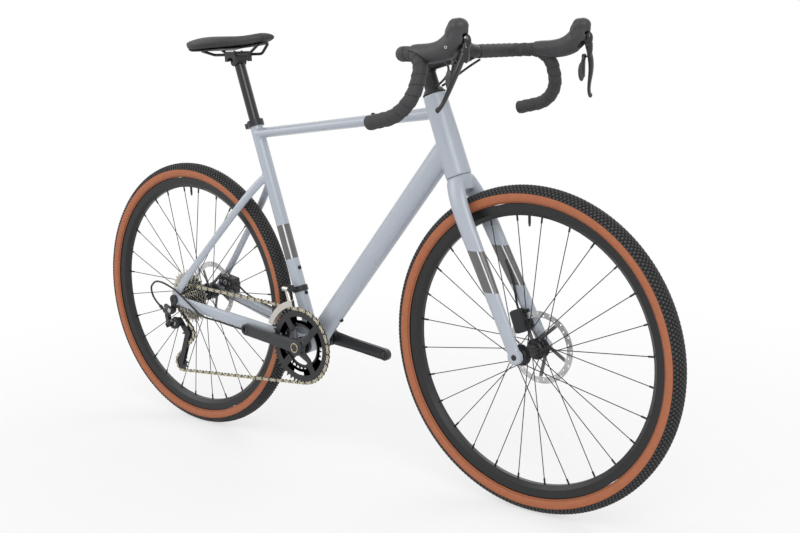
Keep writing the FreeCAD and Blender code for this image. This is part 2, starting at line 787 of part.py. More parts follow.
# Fork: one moulding of crown, steerer and two straight legs
crown_top = d.fork_length - d.seat_gap
steerer_top = head_top + d.headset_cover_height + d.spacer_stack + d.stem_clamp_height - 3
fork_pieces = [
    cylinder("steerer", steerer, steerer_top - crown_top + 10, in_frame(STEER, 0, 0, crown_top - 10)),
    cone("crown", d.head_tube_bottom_diameter / 2 - 6, d.head_tube_bottom_diameter / 2 - 0.5, 34,
         in_frame(STEER, 0, 0, crown_top - 34)),
]
tip_mid = d.front_hub_width / 2 + d.fork_tip_width / 2
leg_in = tyre_side + d.fork_leg_width / 2 + 2
LEG_BEND = 0.25


def leg_form(share):
    """Distance out, width and depth of a fork leg, from the crown (0) to the axle (1)."""
    if share < LEG_BEND:
        above = 1 - share / LEG_BEND
        return leg_in - 28 * above ** 2, d.fork_leg_width, d.fork_leg_depth + 4 * above
    along = (share - LEG_BEND) / (1 - LEG_BEND)
    out = leg_in + (tip_mid - leg_in) * along
    width = d.fork_leg_width + (d.fork_tip_width - d.fork_leg_width) * along
    return out, width, d.fork_leg_depth + (d.fork_tip_depth - d.fork_leg_depth) * along


def leg_point(share, out):
    """A point at a share of the way from the crown to the front axle."""
    return steer_point(d.fork_offset * share, out, crown_top * (1 - share))


for side, hand in ((-1, "right"), (1, "left")):
    legs = []
    for share in (0.02, 0.1, 0.25, 0.43, 0.62, 0.81, 1.0):
        out, width, depth = leg_form(share)
        legs.append((leg_point(share, side * out), width, depth))
    fork_pieces.append(loft("fork_leg_" + hand, legs))
    tip_start = FRONT_AXLE + at(0, side * tip_mid - d.fork_tip_width / 2, 0)
    fork_pieces.append(cylinder("fork_tip_" + hand, d.fork_tip_diameter / 2, d.fork_tip_width,
                                across(tip_start)))
wheel_room = torus("wheel_room", d.tyre_radius - d.tyre_width / 2, d.tyre_width / 2 + d.fork_arch_clearance,
                   across(FRONT_AXLE))
front_bore = cross_bore("front_bore", FRONT_AXLE, fork_face + 5)
hub_room = cylinder("hub_room", d.fork_tip_diameter, d.front_hub_width,
                    across(FRONT_AXLE - at(0, d.front_hub_width / 2, 0)))
fork = finish("fork", cut("fork", fuse("fork_blank", *fork_pieces), wheel_room, front_bore, hub_room))

# Headset cover, spacers and top cap
cover_top = head_top + d.headset_cover_height
stem_low = cover_top + d.spacer_stack
stem_high = stem_low + d.stem_clamp_height
bore = steerer + d.running_clearance
cover = turned("headset_cover", [
    (bore, head_top + 0.5), (d.head_tube_top_diameter / 2, head_top + 0.5),
    (d.head_tube_top_diameter / 2, head_top + 2), (d.spacer_diameter / 2 + 1, cover_top), (bore, cover_top),
], STEER)
spacers = [turned("spacer_%d" % number, [
    (bore, cover_top + d.spacer_stack * low), (d.spacer_diameter / 2, cover_top + d.spacer_stack * low),
    (d.spacer_diameter / 2, cover_top + d.spacer_stack * high), (bore, cover_top + d.spacer_stack * high),
], STEER) for number, (low, high) in enumerate(((0, 0.28), (0.28, 0.56), (0.56, 1)))]
top_cap = turned("top_cap", [
    (0, stem_high), (d.spacer_diameter / 2, stem_high), (d.spacer_diameter / 2, stem_high + 3),
    (d.spacer_diameter / 2 - 2, stem_high + 4.5), (4, stem_high + 4.5), (4, stem_high + 3),
    (0, stem_high + 3),
], STEER)
finish("headset_spacers", group("headset_spacers", cover, *spacers, top_cap))

# Stem, its face plate and bolts
stem_mid = (stem_low + stem_high) / 2
STEM = in_frame(STEER, 0, 0, stem_mid, Rotation(Vector(0, 1, 0), float(d.stem_drop_angle)))
BAR = Placement(STEM.multVec(at(d.stem_length, 0, 0)), Rotation())
bar_seat = d.bar_clamp_diameter / 2 + d.running_clearance
clamp_outer = bar_seat + 6
barrel_place = Placement(BAR.Base - at(0, d.bar_clamp_width / 2, 0), STEM.Rotation.multiply(ACROSS))
stem_post = cylinder("stem_post", steerer + 5, d.stem_clamp_height, in_frame(STEER, 0, 0, stem_low))
stem_body = loft("stem_body", [
    (STEM.multVec(at(2, 0, 0)), 33, 38),
    (STEM.multVec(at(d.stem_length - bar_seat, 0, 0)), 34, 39),
], True)
stem_barrel = cylinder("stem_barrel", clamp_outer, d.bar_clamp_width, barrel_place)
plate_barrel = cylinder("plate_barrel", clamp_outer, d.bar_clamp_width, barrel_place)
bar_hole = cylinder("bar_hole", bar_seat, d.bar_clamp_width, barrel_place)
steerer_hole = cylinder("steerer_hole", bore, d.stem_clamp_height, in_frame(STEER, 0, 0, stem_low))
front_half = box("front_half", clamp_outer * 2, d.bar_clamp_width + 2, clamp_outer * 3,
                 in_frame(STEM, d.stem_length + clamp_outer - 0.7, 0, 0))
rear_half = box("rear_half", clamp_outer * 2, d.bar_clamp_width + 2, clamp_outer * 3,
                in_frame(STEM, d.stem_length - clamp_outer + 0.7, 0, 0))
finish("stem", cut("stem", fuse("stem_blank", stem_post, stem_body, stem_barrel),
                   bar_hole, steerer_hole, front_half))
plate = cut("face_plate", plate_barrel, bar_hole, rear_half)
plate_bolts = [cut("plate_bolt_%d_%d" % (up, over), turned("plate_screw_%d_%d" % (up, over), [
    (0, 0), (3.8, 0), (3.8, 7), (2, 7), (2, 4), (0, 4),
], in_frame(STEM, d.stem_length + 9, over * (d.bar_clamp_width / 2 - 7), up * (clamp_outer - 4.5),
            Rotation(Vector(0, 1, 0), 90))), plate_barrel) for up in (-1, 1) for over in (-1, 1)]
finish("stem_faceplate", group("stem_faceplate", plate, *plate_bolts))

# Handlebar: flared drop bar, tape, end plugs


def bar_point(side, x, out, z):
    """A point measured from the bar's middle: forward, outward to one side, up."""
    return BAR.Base + at(x, side * float(out), z)


flare = math.radians(float(d.bar_flare))
drop_out = d.bar_half_width + 14
hook_out = drop_out + d.bar_drop * math.sin(flare)
hook_down = -d.bar_drop * math.cos(flare)
BAR_RADII = (float(d.bar_reach) * 0.41, float(d.bar_reach) * 0.58, float(d.bar_drop) * 0.6)


def bar_side(side, start_out):
    """Centre line of one side of the bar, from the top to the end of the drop."""
    return [
        bar_point(side, 0, start_out, 0),
        bar_point(side, 0, d.bar_half_width, 0),
        bar_point(side, d.bar_reach, drop_out, 0),
        bar_point(side, d.bar_reach - 3, hook_out, hook_down),
        bar_point(side, d.bar_reach - d.bar_tail, hook_out - 4, hook_down - 20),
    ]


tube_radius = d.bar_diameter / 2
tape_radius = tube_radius + d.bar_tape_thickness
clamp_radius = d.bar_clamp_diameter / 2
bulge_half = d.bar_clamp_width / 2 + 24
taper = 14
whole_bar = bar_side(-1, 0)[:0:-1] + bar_side(1, 0)[1:]
bar_tube = swept("bar_tube", whole_bar, tube_radius, BAR_RADII[::-1] + BAR_RADII)
bar_core = swept("bar_core", whole_bar, tube_radius - d.bar_wall, BAR_RADII[::-1] + BAR_RADII)
bulge = turned("bar_bulge", [
    (0, -bulge_half - taper), (tube_radius, -bulge_half - taper), (clamp_radius, -bulge_half),
    (clamp_radius, bulge_half), (tube_radius, bulge_half + taper), (0, bulge_half + taper),
], across(BAR.Base))
bar_whole = fuse("bar_whole", bar_tube, bulge)
finish("handlebar", cut("handlebar", bar_whole, bar_core))

tape_start = bulge_half + taper + 0.5
tapes = []
hood_rooms = {}
for side, hand in ((-1, "right"), (1, "left")):
    line = bar_side(side, tape_start)
    skin = swept("tape_skin_" + hand, line, tape_radius, BAR_RADII)
    hole = swept("tape_hole_" + hand, line, tube_radius + 0.02, BAR_RADII)
    hood_rooms[hand] = swept("hood_room_" + hand, line, tape_radius + d.seat_gap, BAR_RADII)
    tapes.append(cut("tape_" + hand, skin, hole))
    tail = (line[-1] - line[-2]).normalize()
    tapes.append(turned("bar_plug_" + hand, [
        (0, 0.1), (tape_radius, 0.1), (tape_radius - 1, 2.5), (0, 3.5),
    ], facing(line[-1], tail)))
finish("bar_tape", group("bar_tape", *tapes))

# Hoods, brake levers and shift paddles
PIVOT = (168, 24)
LEVER_TIP = (150, 56, -106)
pin_radius = 2.5
lever_half = d.lever_width / 2
slot_half = lever_half + d.seat_gap
hoods = []
for side, hand in ((-1, "right"), (1, "left")):
    hood_stations = [
        (bar_point(side, 44, d.bar_half_width + 8, 0), d.hood_width - 2.5, d.hood_depth - 13),
        (bar_point(side, 84, drop_out - 2, 0), d.hood_width, d.hood_depth - 8),
        (bar_point(side, 120, drop_out, 5), d.hood_width - 1, d.hood_depth - 4),
        (bar_point(side, 147, drop_out + 1, 20), d.hood_width - 2, d.hood_depth),
        (bar_point(side, 163, drop_out + 1, 42), d.hood_width - 5, d.hood_depth - 8),
        (bar_point(side, 169, drop_out + 1, 58), d.hood_width - 17, d.hood_depth - 24),
    ]
    pivot = bar_point(side, PIVOT[0], drop_out, PIVOT[1])
    form = loft("hood_form_" + hand, hood_stations)
    slot = box("hood_slot_" + hand, 60, slot_half * 2, 66, Placement(pivot + at(13, 0, -22), Rotation()))
    pin_reach = slot_half + 4
    pin = cylinder("lever_pin_" + hand, pin_radius, pin_reach * 2, across(pivot - at(0, pin_reach, 0)))
    cheeks = []
    for cheek in (-1, 1):
        low = pivot + at(0, cheek * (slot_half + 2) - 2, 0)
        cheeks.append(cylinder("hood_cheek_%s_%d" % (hand, cheek), 9, 4, across(low)))
    open_hood = cut("hood_open_" + hand, fuse("hood_blank_" + hand, form, *cheeks), slot, hood_rooms[hand])
    hoods.append(fuse("hood_" + hand, open_hood, pin))

    lug = cylinder("lever_lug_" + hand, 8, d.lever_width, across(pivot - at(0, lever_half, 0)))
    blade = loft("lever_blade_" + hand, [
        (pivot + at(4, 0, -1), d.lever_width - 2.5, d.lever_thickness),
        (pivot + at(6, side * 2, -16), d.lever_width - 2, d.lever_thickness),
        (pivot + at(6, side * 13, -40), d.lever_width, d.lever_thickness),
        (pivot + at(-4, side * 32, -84), d.lever_width - 1, d.lever_thickness - 2),
        (bar_point(side, LEVER_TIP[0], drop_out + LEVER_TIP[1], LEVER_TIP[2]),
         d.lever_width - 5, d.lever_thickness - 3),
    ])
    lug_hole = cylinder("lug_hole_" + hand, pin_radius + d.running_clearance, d.lever_width + 2,
                        across(pivot - at(0, lever_half + 1, 0)))
    paddle_pivot = pivot + at(-6, side * 14, -42)
    forward = Rotation(Vector(0, 1, 0), 90)
    paddle_pin = cylinder("paddle_pin_" + hand, 2, 22, Placement(paddle_pivot - at(8, 0, 0), forward))
    finish("brake_lever_" + hand, cut("brake_lever_" + hand, fuse(
        "lever_blank_" + hand, lug, blade, paddle_pin), lug_hole))

    eye = cylinder("paddle_eye_" + hand, 6, 7, Placement(paddle_pivot - at(7, 0, 0), forward))
    fin = loft("paddle_fin_" + hand, [
        (paddle_pivot + at(-3.5, 0, -1), 11, 6),
        (paddle_pivot + at(-6, -side * 2, -22), 22, 5),
        (paddle_pivot + at(-10, side * 8, -46), 14, 4),
    ])
    paddle_hole = cylinder("paddle_hole_" + hand, 2 + d.running_clearance, 16,
                           Placement(paddle_pivot - at(12, 0, 0), forward))
    paddle_blank = fuse("paddle_blank_" + hand, eye, fin)
    finish("shift_paddle_" + hand, cut("shift_paddle_" + hand, paddle_blank, paddle_hole))
finish("control_hoods", group("control_hoods", *hoods))

# Seatpost, saddle clamp, rails, shell and cover
RAIL_MID = seat_axis_at(d.saddle_rail_height) + at(4, 0, 0)
rail = d.saddle_rail_diameter / 2
head_radius = 11
HEAD = RAIL_MID - at(0, 0, rail + head_radius + 3)
post_low = d.seat_tube_length - d.seatpost_insert
post_length = (HEAD - SEAT.Base).Length - float(post_low) - 9
post = cylinder("post_tube", d.seatpost_diameter / 2, post_length, in_frame(SEAT, 0, 0, post_low))
post_core = cylinder("post_core", d.seatpost_diameter / 2 - 2.2, post_length - 25,
                     in_frame(SEAT, 0, 0, post_low))
post_head = cylinder("post_head", head_radius, 34, across(HEAD - at(0, 17, 0)))
finish("seatpost", cut("seatpost", fuse("post_blank", post, post_head), post_core))

rail_half = d.saddle_rail_gap / 2
cradle = box("cradle", 38, d.saddle_rail_gap + 12, head_radius + 3 + rail - 1,
             Placement(RAIL_MID - at(0, 0, (head_radius + 3 + rail - 1) / 2 + 0.5), Rotation()))
cap_plate = box("cap_plate", 34, d.saddle_rail_gap + 12, rail + 4,
                Placement(RAIL_MID + at(0, 0, (rail + 4) / 2 + 0.5), Rotation()))
rail_channels = [cylinder("rail_channel_%d" % side, rail + d.running_clearance, 60,
                          Placement(RAIL_MID + at(-30, side * rail_half, 0), Rotation(Vector(0, 1, 0), 90)))
                 for side in (-1, 1)]
head_room = cylinder("head_room", head_radius + d.running_clearance, 80, across(HEAD - at(0, 40, 0)))
post_room = box("post_room", 60, 40, 20, Placement(HEAD - at(0, 0, 8), Rotation()))
screws = [cylinder("clamp_screw_%d" % end, 2.5, 20, Placement(RAIL_MID + at(end * 13, 0, -10), Rotation()))
          for end in (-1, 1)]
lower_jaw = cut("lower_jaw", cradle, *rail_channels, head_room, post_room, *screws)
upper_jaw = cut("upper_jaw", cap_plate, *rail_channels, *screws)
finish("saddle_clamp", group("saddle_clamp", lower_jaw, upper_jaw, *screws))

nose_x = RAIL_MID.x + float(d.saddle_length - d.saddle_setback) - 95
tail_x = nose_x - float(d.saddle_length)
rail_z = RAIL_MID.z
rails = []
for side in (-1, 1):
    rails.append(swept("saddle_rail_%d" % side, [
        Vector(RAIL_MID.x + 90, side * (float(rail_half) - 6), rail_z + 23),
        Vector(RAIL_MID.x + 62, side * float(rail_half), rail_z),
        Vector(RAIL_MID.x - 62, side * float(rail_half), rail_z),
        Vector(RAIL_MID.x - 96, side * (float(rail_half) + 12), rail_z + 11),
    ], rail, (22, 22)))
finish("saddle_rails", group("saddle_rails", *rails))


def saddle_section(share, width, low, edge, crown, drawn_in):
    """Closed outline across the saddle: flat base, drawn-in sides and a crowned top."""
    x = tail_x + share * float(d.saddle_length)
    half = float(width) / 2
    base = half - drawn_in
    corners = [Vector(x, -base, rail_z + low), Vector(x, -half, rail_z + edge),
               Vector(x, half, rail_z + edge), Vector(x, base, rail_z + low)]
    top = Vector(x, 0, rail_z + crown)
    return Part.Wire([
        Part.LineSegment(corners[0], corners[1]).toShape(),
        Part.Arc(corners[1], top, corners[2]).toShape(),
        Part.LineSegment(corners[2], corners[3]).toShape(),
        Part.LineSegment(corners[3], corners[0]).toShape(),
    ])


nose = d.saddle_nose_width
SADDLE_FORM = (
    (0.0, d.saddle_width * 0.4, 28, 34, 39, 3),
    (0.05, d.saddle_width * 0.8, 20, 31, 43, 4),
    (0.16, d.saddle_width, 15, 27, 46, 5),
    (0.34, d.saddle_width * 0.86, 17, 29, 47, 6),
    (0.52, nose + 30, 20, 33, 47, 6),
    (0.72, nose + 8, 23, 36, 49, 5),
    (0.92, nose, 29, 40, 50, 4),
    (1.0, nose * 0.62, 36, 41, 46, 2),
)
cover_form = [saddle_section(*row) for row in SADDLE_FORM]
finish("saddle_cover", shaped("saddle_cover", Part.makeLoft(cover_form, True), Placement()))
shell_drop = 5
shell_form = []
for share, width, low, edge, crown, drawn_in in SADDLE_FORM[1:-1]:
    shell_form.append(saddle_section(
        share, width - 2 * drawn_in - 6, low - shell_drop, low - shell_drop * 0.6, low - 0.3, 3))
finish("saddle_shell", cut("saddle_shell", shaped("shell_form", Part.makeLoft(shell_form, True)),
                           *rails))

# Cranks
CRANK = Placement(CRANK_AXLE, Rotation(Vector(0, 1, 0), -float(d.crank_angle)))
PEDAL_RIGHT = CRANK.multVec(at(d.crank_length, -d.pedal_face, 0))
PEDAL_LEFT = CRANK.multVec(at(-d.crank_length, d.pedal_face, 0))
pedal_mid = d.pedal_face - d.crank_thickness / 2
boss_mid = pedal_mid - 6.5
for side, hand in ((-1, "right"), (1, "left")):
    ahead = -side
    arm = loft("arm_" + hand, [
        (CRANK.multVec(at(ahead * 4, side * boss_mid, 0)), d.crank_thickness + 2, 38),
        (CRANK.multVec(at(ahead * 60, side * (boss_mid + 2), 0)), d.crank_thickness + 1, 33),
        (CRANK.multVec(at(ahead * 120, side * (boss_mid + 4.5), 0)), d.crank_thickness, 28),
        (CRANK.multVec(at(ahead * d.crank_length, side * pedal_mid, 0)), d.crank_thickness, 26),
    ])
    boss_low = CRANK_AXLE + at(0, side * boss_mid - 8, 0)
    boss = cylinder("boss_" + hand, 21, 16, across(boss_low))
    eye_place = CRANK.multVec(at(ahead * d.crank_length, side * pedal_mid - d.crank_thickness / 2, 0))
    eye = cylinder("pedal_eye_" + hand, 14.5, d.crank_thickness, across(eye_place))
    thread = cylinder("pedal_thread_" + hand, d.pedal_thread_diameter / 2, d.crank_thickness + 4,
                      across(eye_place - at(0, 2, 0)))
    pieces = [arm, boss, eye]
    tools = [thread]
    if side < 0:
        ring_tab = d.chain_plane - d.ring_spacing / 2
        for number, angle in enumerate((50, 130, 230, 310)):
            turn = CRANK.Rotation.multiply(Rotation(Vector(0, 1, 0), angle))
            pieces.append(loft("spider_%d" % number, [
                (CRANK_AXLE + turn.multVec(at(12, -boss_mid + 2, 0)), 10, 26),
                (CRANK_AXLE + turn.multVec(at(41, -ring_tab, 0)), 4.4, 18),
                (CRANK_AXLE + turn.multVec(at(61, -ring_tab, 0)), 4.4, 15),
            ], True))
            bolt = CRANK_AXLE + turn.multVec(at(d.ring_bolt_circle / 2, -ring_tab, 0))
            tools.append(cylinder("spider_hole_%d" % number, 4 + d.running_clearance, 16,
                                  across(bolt - at(0, 8, 0))))
        spindle_place = across(CRANK_AXLE - at(0, boss_mid, 0))
        spindle_rod = cylinder("crank_spindle", spindle, boss_mid * 2, spindle_place)
        tools.append(cylinder("spindle_socket", spindle + d.running_clearance, boss_mid, spindle_place))
        cap_low = CRANK_AXLE - at(0, boss_mid + 10, 0)
        pieces.append(cylinder("crank_cap", 12, 4, across(cap_low)))
    else:
        tools.append(cylinder("spindle_seat", spindle + d.running_clearance, 80, across(CRANK_AXLE)))
    crank = cut("crank_arm_" + hand, fuse("crank_blank_" + hand, *pieces), *tools)
    finish("crank_" + hand, group("crank_" + hand, crank, spindle_rod) if side < 0 else crank)

# Chain drive: route round cog, large ring, tension pulley and guide pulley
pitch = float(d.chain_pitch)
SEAT_DEPTH = 4.4
SEAT_HALF = 2.9
TIP_HEIGHT = 3.4
TIP_HALF = 5.3


def pitch_radius(teeth):
    return pitch / (2 * math.sin(math.pi / teeth))


def toothed(teeth, first_seat, bore_radius, thickness):
    """Toothed disc about local Y, with a roller seat at a given angle from +X to +Z."""
    radius = pitch_radius(teeth)
    points = []
    for tooth in range(teeth):
        middle = first_seat + 2 * math.pi * tooth / teeth
        for height, over in ((TIP_HEIGHT, -TIP_HALF), (-SEAT_DEPTH, -SEAT_HALF),
                             (-SEAT_DEPTH, SEAT_HALF), (TIP_HEIGHT, TIP_HALF)):
            angle = middle + over / radius
            points.append(at((radius + height) * math.cos(angle), 0, (radius + height) * math.sin(angle)))
    rim = Part.makePolygon(points + points[:1])
    hole = Part.Wire(Part.makeCircle(bore_radius, Vector(), Vector(0, 1, 0)))
    blank = Part.Face(rim).extrude(at(0, thickness, 0))
    core = Part.Face(hole).extrude(at(0, thickness, 0))
    solid = blank.cut(core)
    solid.translate(at(0, -thickness / 2, 0))
    return solid


def flat_angle(vector):
    return math.atan2(vector.z, vector.x)


def belt_route(wheels):
    """Stretches of a chain round wheels given as (centre, teeth, sense of turning)."""
    normals = []
    for (here, teeth, sense), (there, next_teeth, next_sense) in zip(wheels, wheels[1:] + wheels[:1]):
        run = there - here
        spread = (sense * pitch_radius(teeth) - next_sense * pitch_radius(next_teeth)) / run.Length
        normals.append(flat_angle(run) + math.acos(spread))
    stretches = []
    for index, (centre, teeth, sense) in enumerate(wheels):
        radius = sense * pitch_radius(teeth)
        into, out = normals[index - 1], normals[index]
        sweep = ((into - out) * sense) % (2 * math.pi)
        stretches.append(("arc", centre, radius, into, sense * sweep, sweep * teeth / (2 * math.pi)))
        following, next_teeth, next_sense = wheels[(index + 1) % len(wheels)]
        side = at(math.cos(out), 0, math.sin(out))
        start = centre + side * radius
        end = following + side * (next_sense * pitch_radius(next_teeth))
        stretches.append(("line", start, end, None, None, (end - start).Length / pitch))
    return stretches


def route_point(stretches, links):
    """The roller place a number of links along the route."""
    for kind, first, second, into, sweep, length in stretches:
        if links <= length:
            share = links / length
            if kind == "line":
                return first + (second - first) * share
            angle = into - sweep * share
            return first + at(math.cos(angle), 0, math.sin(angle)) * second
        links -= length
    return stretches[-1][2]


cage_axis = REAR_AXLE + at(-12, 0, -66)
guide_rest = at(27, 0, -28)
tension_rest = guide_rest + at(-29, 0, -88.4).normalize() * float(d.pulley_spacing)
pulley = int(float(d.pulley_teeth))
large = int(float(d.large_ring_teeth))
small = int(float(d.small_ring_teeth))


def drive_wheels(cage_turn):
    turn = Rotation(Vector(0, 1, 0), cage_turn)
    return [
        (REAR_AXLE, COG_TEETH[DRIVEN_COG], 1),
        (CRANK_AXLE, large, 1),
        (cage_axis + turn.multVec(tension_rest), pulley, 1),
        (cage_axis + turn.multVec(guide_rest), pulley, -1),
    ]


def chain_length(cage_turn):
    """Links that the route takes with the cage turned by some degrees."""
    return sum(stretch[-1] for stretch in belt_route(drive_wheels(cage_turn)))


link_count = 2 * round(chain_length(0) / 2)
low_turn, high_turn = -30.0, 30.0
for trial in range(40):
    cage_turn = (low_turn + high_turn) / 2
    if chain_length(cage_turn) < link_count:
        low_turn = cage_turn
    else:
        high_turn = cage_turn
wheels = drive_wheels(cage_turn)
route = belt_route(wheels)
rollers = [route_point(route, link) for link in range(link_count)]
print("chain has %d links, cage turned %.1f degrees" % (link_count, cage_turn))

first_seats = []
travelled = 0
for index in range(len(wheels)):
    arc = route[2 * index]
    roller = rollers[math.ceil(travelled) % link_count]
    first_seats.append(flat_angle(roller - wheels[index][0]))
    travelled += arc[-1] + route[2 * index + 1][-1]

CHAIN_LINE = at(0, -d.chain_plane, 0)
plate = float(d.link_plate_thickness)
plate_half = float(d.link_plate_depth) / 2
inner_face = 1.2
roller_solid = Part.makeCylinder(float(d.roller_diameter) / 2, 2 * inner_face - 0.1,
                                 at(0, 0.05 - inner_face, 0), Vector(0, 1, 0))


def link_plate(low):
    """One flat plate of a link, rounded about both rollers, along local X."""
    ends = [Vector(0, low, 0), at(pitch, low, 0)]
    up = at(0, 0, plate_half)
    outline = Part.Wire([
        Part.LineSegment(ends[0] + up, ends[1] + up).toShape(),
        Part.Arc(ends[1] + up, ends[1] + at(plate_half, 0, 0), ends[1] - up).toShape(),
        Part.LineSegment(ends[1] - up, ends[0] - up).toShape(),
        Part.Arc(ends[0] - up, ends[0] - at(plate_half, 0, 0), ends[0] + up).toShape(),
    ])
    return Part.Face(outline).extrude(at(0, plate, 0))


plate_pairs = [Part.makeCompound([link_plate(face), link_plate(-face - plate)])
               for face in (inner_face, inner_face + plate + 0.05)]
links = []
for index, roller in enumerate(rollers):
    following = rollers[(index + 1) % link_count]
    turn = Rotation(Vector(0, 1, 0), -math.degrees(flat_angle(following - roller)))
    place = Placement(roller + CHAIN_LINE, turn)
    for pattern in (plate_pairs[index % 2], roller_solid):
        solid = pattern.copy()
        solid.Placement = place
        links.extend(solid.Solids)
finish("chain", shaped("chain", Part.makeCompound(links), Placement()))

# Chainrings on the spider, with their bolts
ring_solids = []
ring_thick = float(d.ring_thickness)
large_ring = toothed(large, first_seats[1], pitch_radius(large) - 19, ring_thick)
bolt_radius = float(d.ring_bolt_circle) / 2
bolt_spots = []
for angle in (50, 130, 230, 310):
    turn = CRANK.Rotation.multiply(Rotation(Vector(0, 1, 0), angle))
    bolt_spots.append(turn.multVec(at(bolt_radius, 0, 0)))
    tab = Part.makeBox(pitch_radius(large) - 19 - bolt_radius + 12, ring_thick, 18,
                       at(bolt_radius - 9, -ring_thick / 2, -9))
    tab.Placement = Placement(Vector(), turn)
    large_ring = large_ring.fuse(tab)
small_ring = toothed(small, 0, pitch_radius(small) - 12, ring_thick)
for ring, plane in ((large_ring, d.chain_plane), (small_ring, d.chain_plane - d.ring_spacing)):
    for spot in bolt_spots:
        ring = ring.cut(Part.makeCylinder(4.05, 8, spot - at(0, 4, 0), Vector(0, 1, 0)))
    ring.translate(at(0, -plane, 0))
    ring_solids.append(ring)
bolt_low = float(-d.chain_plane) - ring_thick / 2
bolt_span = float(d.ring_spacing) + ring_thick
for spot in bolt_spots:
    ring_solids.append(Part.makeCylinder(4, bolt_span, spot + at(0, bolt_low, 0), Vector(0, 1, 0)))
finish("chainrings", shaped("chainrings", Part.makeCompound(ring_solids), Placement(CRANK_AXLE, Rotation())))

# Cassette: cogs on a freehub core that turns on the axle
core_radius = 17
cogs = []
for number, teeth in enumerate(COG_TEETH):
    seat = first_seats[0] if number == DRIVEN_COG else 0.1 * number
    cog = toothed(teeth, seat, core_radius - 4 if teeth < 12 else core_radius + 0.02, float(d.cog_thickness))
    cog.translate(at(0, -d.chain_plane + d.cog_spacing * (number - DRIVEN_COG), 0))
    cogs.append(cog)
cog_stack = shaped("cogs", Part.makeCompound(cogs), Placement(REAR_AXLE, Rotation()))
core_end = d.chain_plane + d.cog_spacing * DRIVEN_COG - d.cog_thickness / 2 - 0.05
cap = d.hub_cap_diameter / 2
freehub = turned("freehub", [
    (axle_bore, -rear_end), (cap, -rear_end), (cap, -core_end - d.cog_thickness - 1.5),
    (core_radius - 4.1, -core_end - d.cog_thickness - 1.5), (core_radius - 4.1, -core_end),
    (core_radius, -core_end), (core_radius, -freehub_start - d.seat_gap),
    (axle_bore, -freehub_start - d.seat_gap),
], across(REAR_AXLE))
finish("cassette", group("cassette", freehub, cog_stack))

# Rear derailleur
GUIDE = wheels[3][0]
TENSION = wheels[2][0]
CAGE = Placement(cage_axis, Rotation(Vector(0, 1, 0), cage_turn))
pulley_bore = 2.5
plate_thick = d.cage_plate_thickness
outer_face = d.chain_plane + d.cage_plate_gap / 2
inner_plate_face = d.chain_plane - d.cage_plate_gap / 2


def bar_between(name, start, end, width, low, thickness):
    """Flat bar with round ends between two points, lying across Y."""
    first = Vector(start.x, float(low), start.z)
    second = Vector(end.x, float(low), end.z)
    middle = (first + second) * 0.5 + at(0, thickness / 2, 0)
    turn = Rotation(Vector(0, 1, 0), -math.degrees(flat_angle(second - first)))
    length = (second - first).Length
    return fuse(name, box(name + "_web", length, thickness, width, Placement(middle, turn)),
                cylinder(name + "_start", width / 2, thickness, across(first)),
                cylinder(name + "_end", width / 2, thickness, across(second)))


outer_plate = fuse("outer_plate",
                   bar_between("outer_long", GUIDE, TENSION, 16, -outer_face - plate_thick, plate_thick),
                   bar_between("outer_short", cage_axis, GUIDE, 20, -outer_face - plate_thick, plate_thick))
inner_plate = bar_between("inner_plate", GUIDE, TENSION, 15, -inner_plate_face, plate_thick)
pins = [cylinder("pulley_pin_%d" % number, pulley_bore, d.cage_plate_gap + plate_thick * 2,
                 across(Vector(spot.x, float(-outer_face - plate_thick), spot.z)))
        for number, spot in enumerate((GUIDE, TENSION))]
cage_hole = cylinder("cage_hole", 4 + d.running_clearance, 10, across(cage_axis - at(0, outer_face + 5, 0)))
finish("rd_cage", cut("rd_cage", fuse("cage_blank", outer_plate, inner_plate, *pins), cage_hole))

pin_room = pulley_bore + float(d.running_clearance)
for name, spot, seat in (("rd_guide_pulley", GUIDE, first_seats[3]),
                         ("rd_tension_pulley", TENSION, first_seats[2])):
    disc = toothed(pulley, seat, pin_room, 1.9)
    hub = Part.makeCylinder(7, 6, at(0, -3, 0), Vector(0, 1, 0))
    hub = hub.cut(Part.makeCylinder(pin_room, 8, at(0, -4, 0), Vector(0, 1, 0)))
    finish(name, shaped(name, disc.fuse(hub), Placement(spot + CHAIN_LINE, Rotation())))

LINK_TOP = REAR_AXLE + at(-46, -72, -34)
LINK_LOW = REAR_AXLE + at(-24, -84, -66)
link_run = LINK_LOW - LINK_TOP
LINK_AXIS = link_run.cross(Vector(0, 1, 0)).normalize()
knuckle_face = outer_face + plate_thick + d.seat_gap
barrel_length = 84 - 9 - knuckle_face
barrel_place = across(cage_axis - at(0, knuckle_face + barrel_length, 0))
barrel = cylinder("knuckle_barrel", 12, barrel_length, barrel_place)
cage_pin = cylinder("cage_pin", 4, barrel_length + plate_thick + d.seat_gap, barrel_place)


def link_pin(name, spot, radius, length):
    return cylinder(name, radius, length, facing(spot - LINK_AXIS * (float(length) / 2), LINK_AXIS))


link_length = 16
knuckle_ears = []
for name, spot in (("low", LINK_LOW), ("top", LINK_TOP)):
    for end in (-1, 1):
        ear = spot + LINK_AXIS * (end * (link_length / 2 + 2.3))
        knuckle_ears.append(cylinder("ear_%s_%d" % (name, end), 6, 4,
                                     facing(ear - LINK_AXIS * 2, LINK_AXIS)))
low_arm = loft("low_arm", [
    (cage_axis + at(-2, -66, -2), 20, 16),
    (LINK_LOW + at(-8, -5, -9), 15, 8),
], True, Vector(1, 0, 0))
low_pin = link_pin("low_pin", LINK_LOW, 2.2, link_length + 8)
link_room = link_pin("link_room_low", LINK_LOW, 11, link_length + 0.8)
knuckle_body = cut("knuckle_body", fuse("knuckle_solid", barrel, low_arm, *knuckle_ears[:2]), link_room)
finish("rd_knuckle", fuse("rd_knuckle", knuckle_body, cage_pin, low_pin))

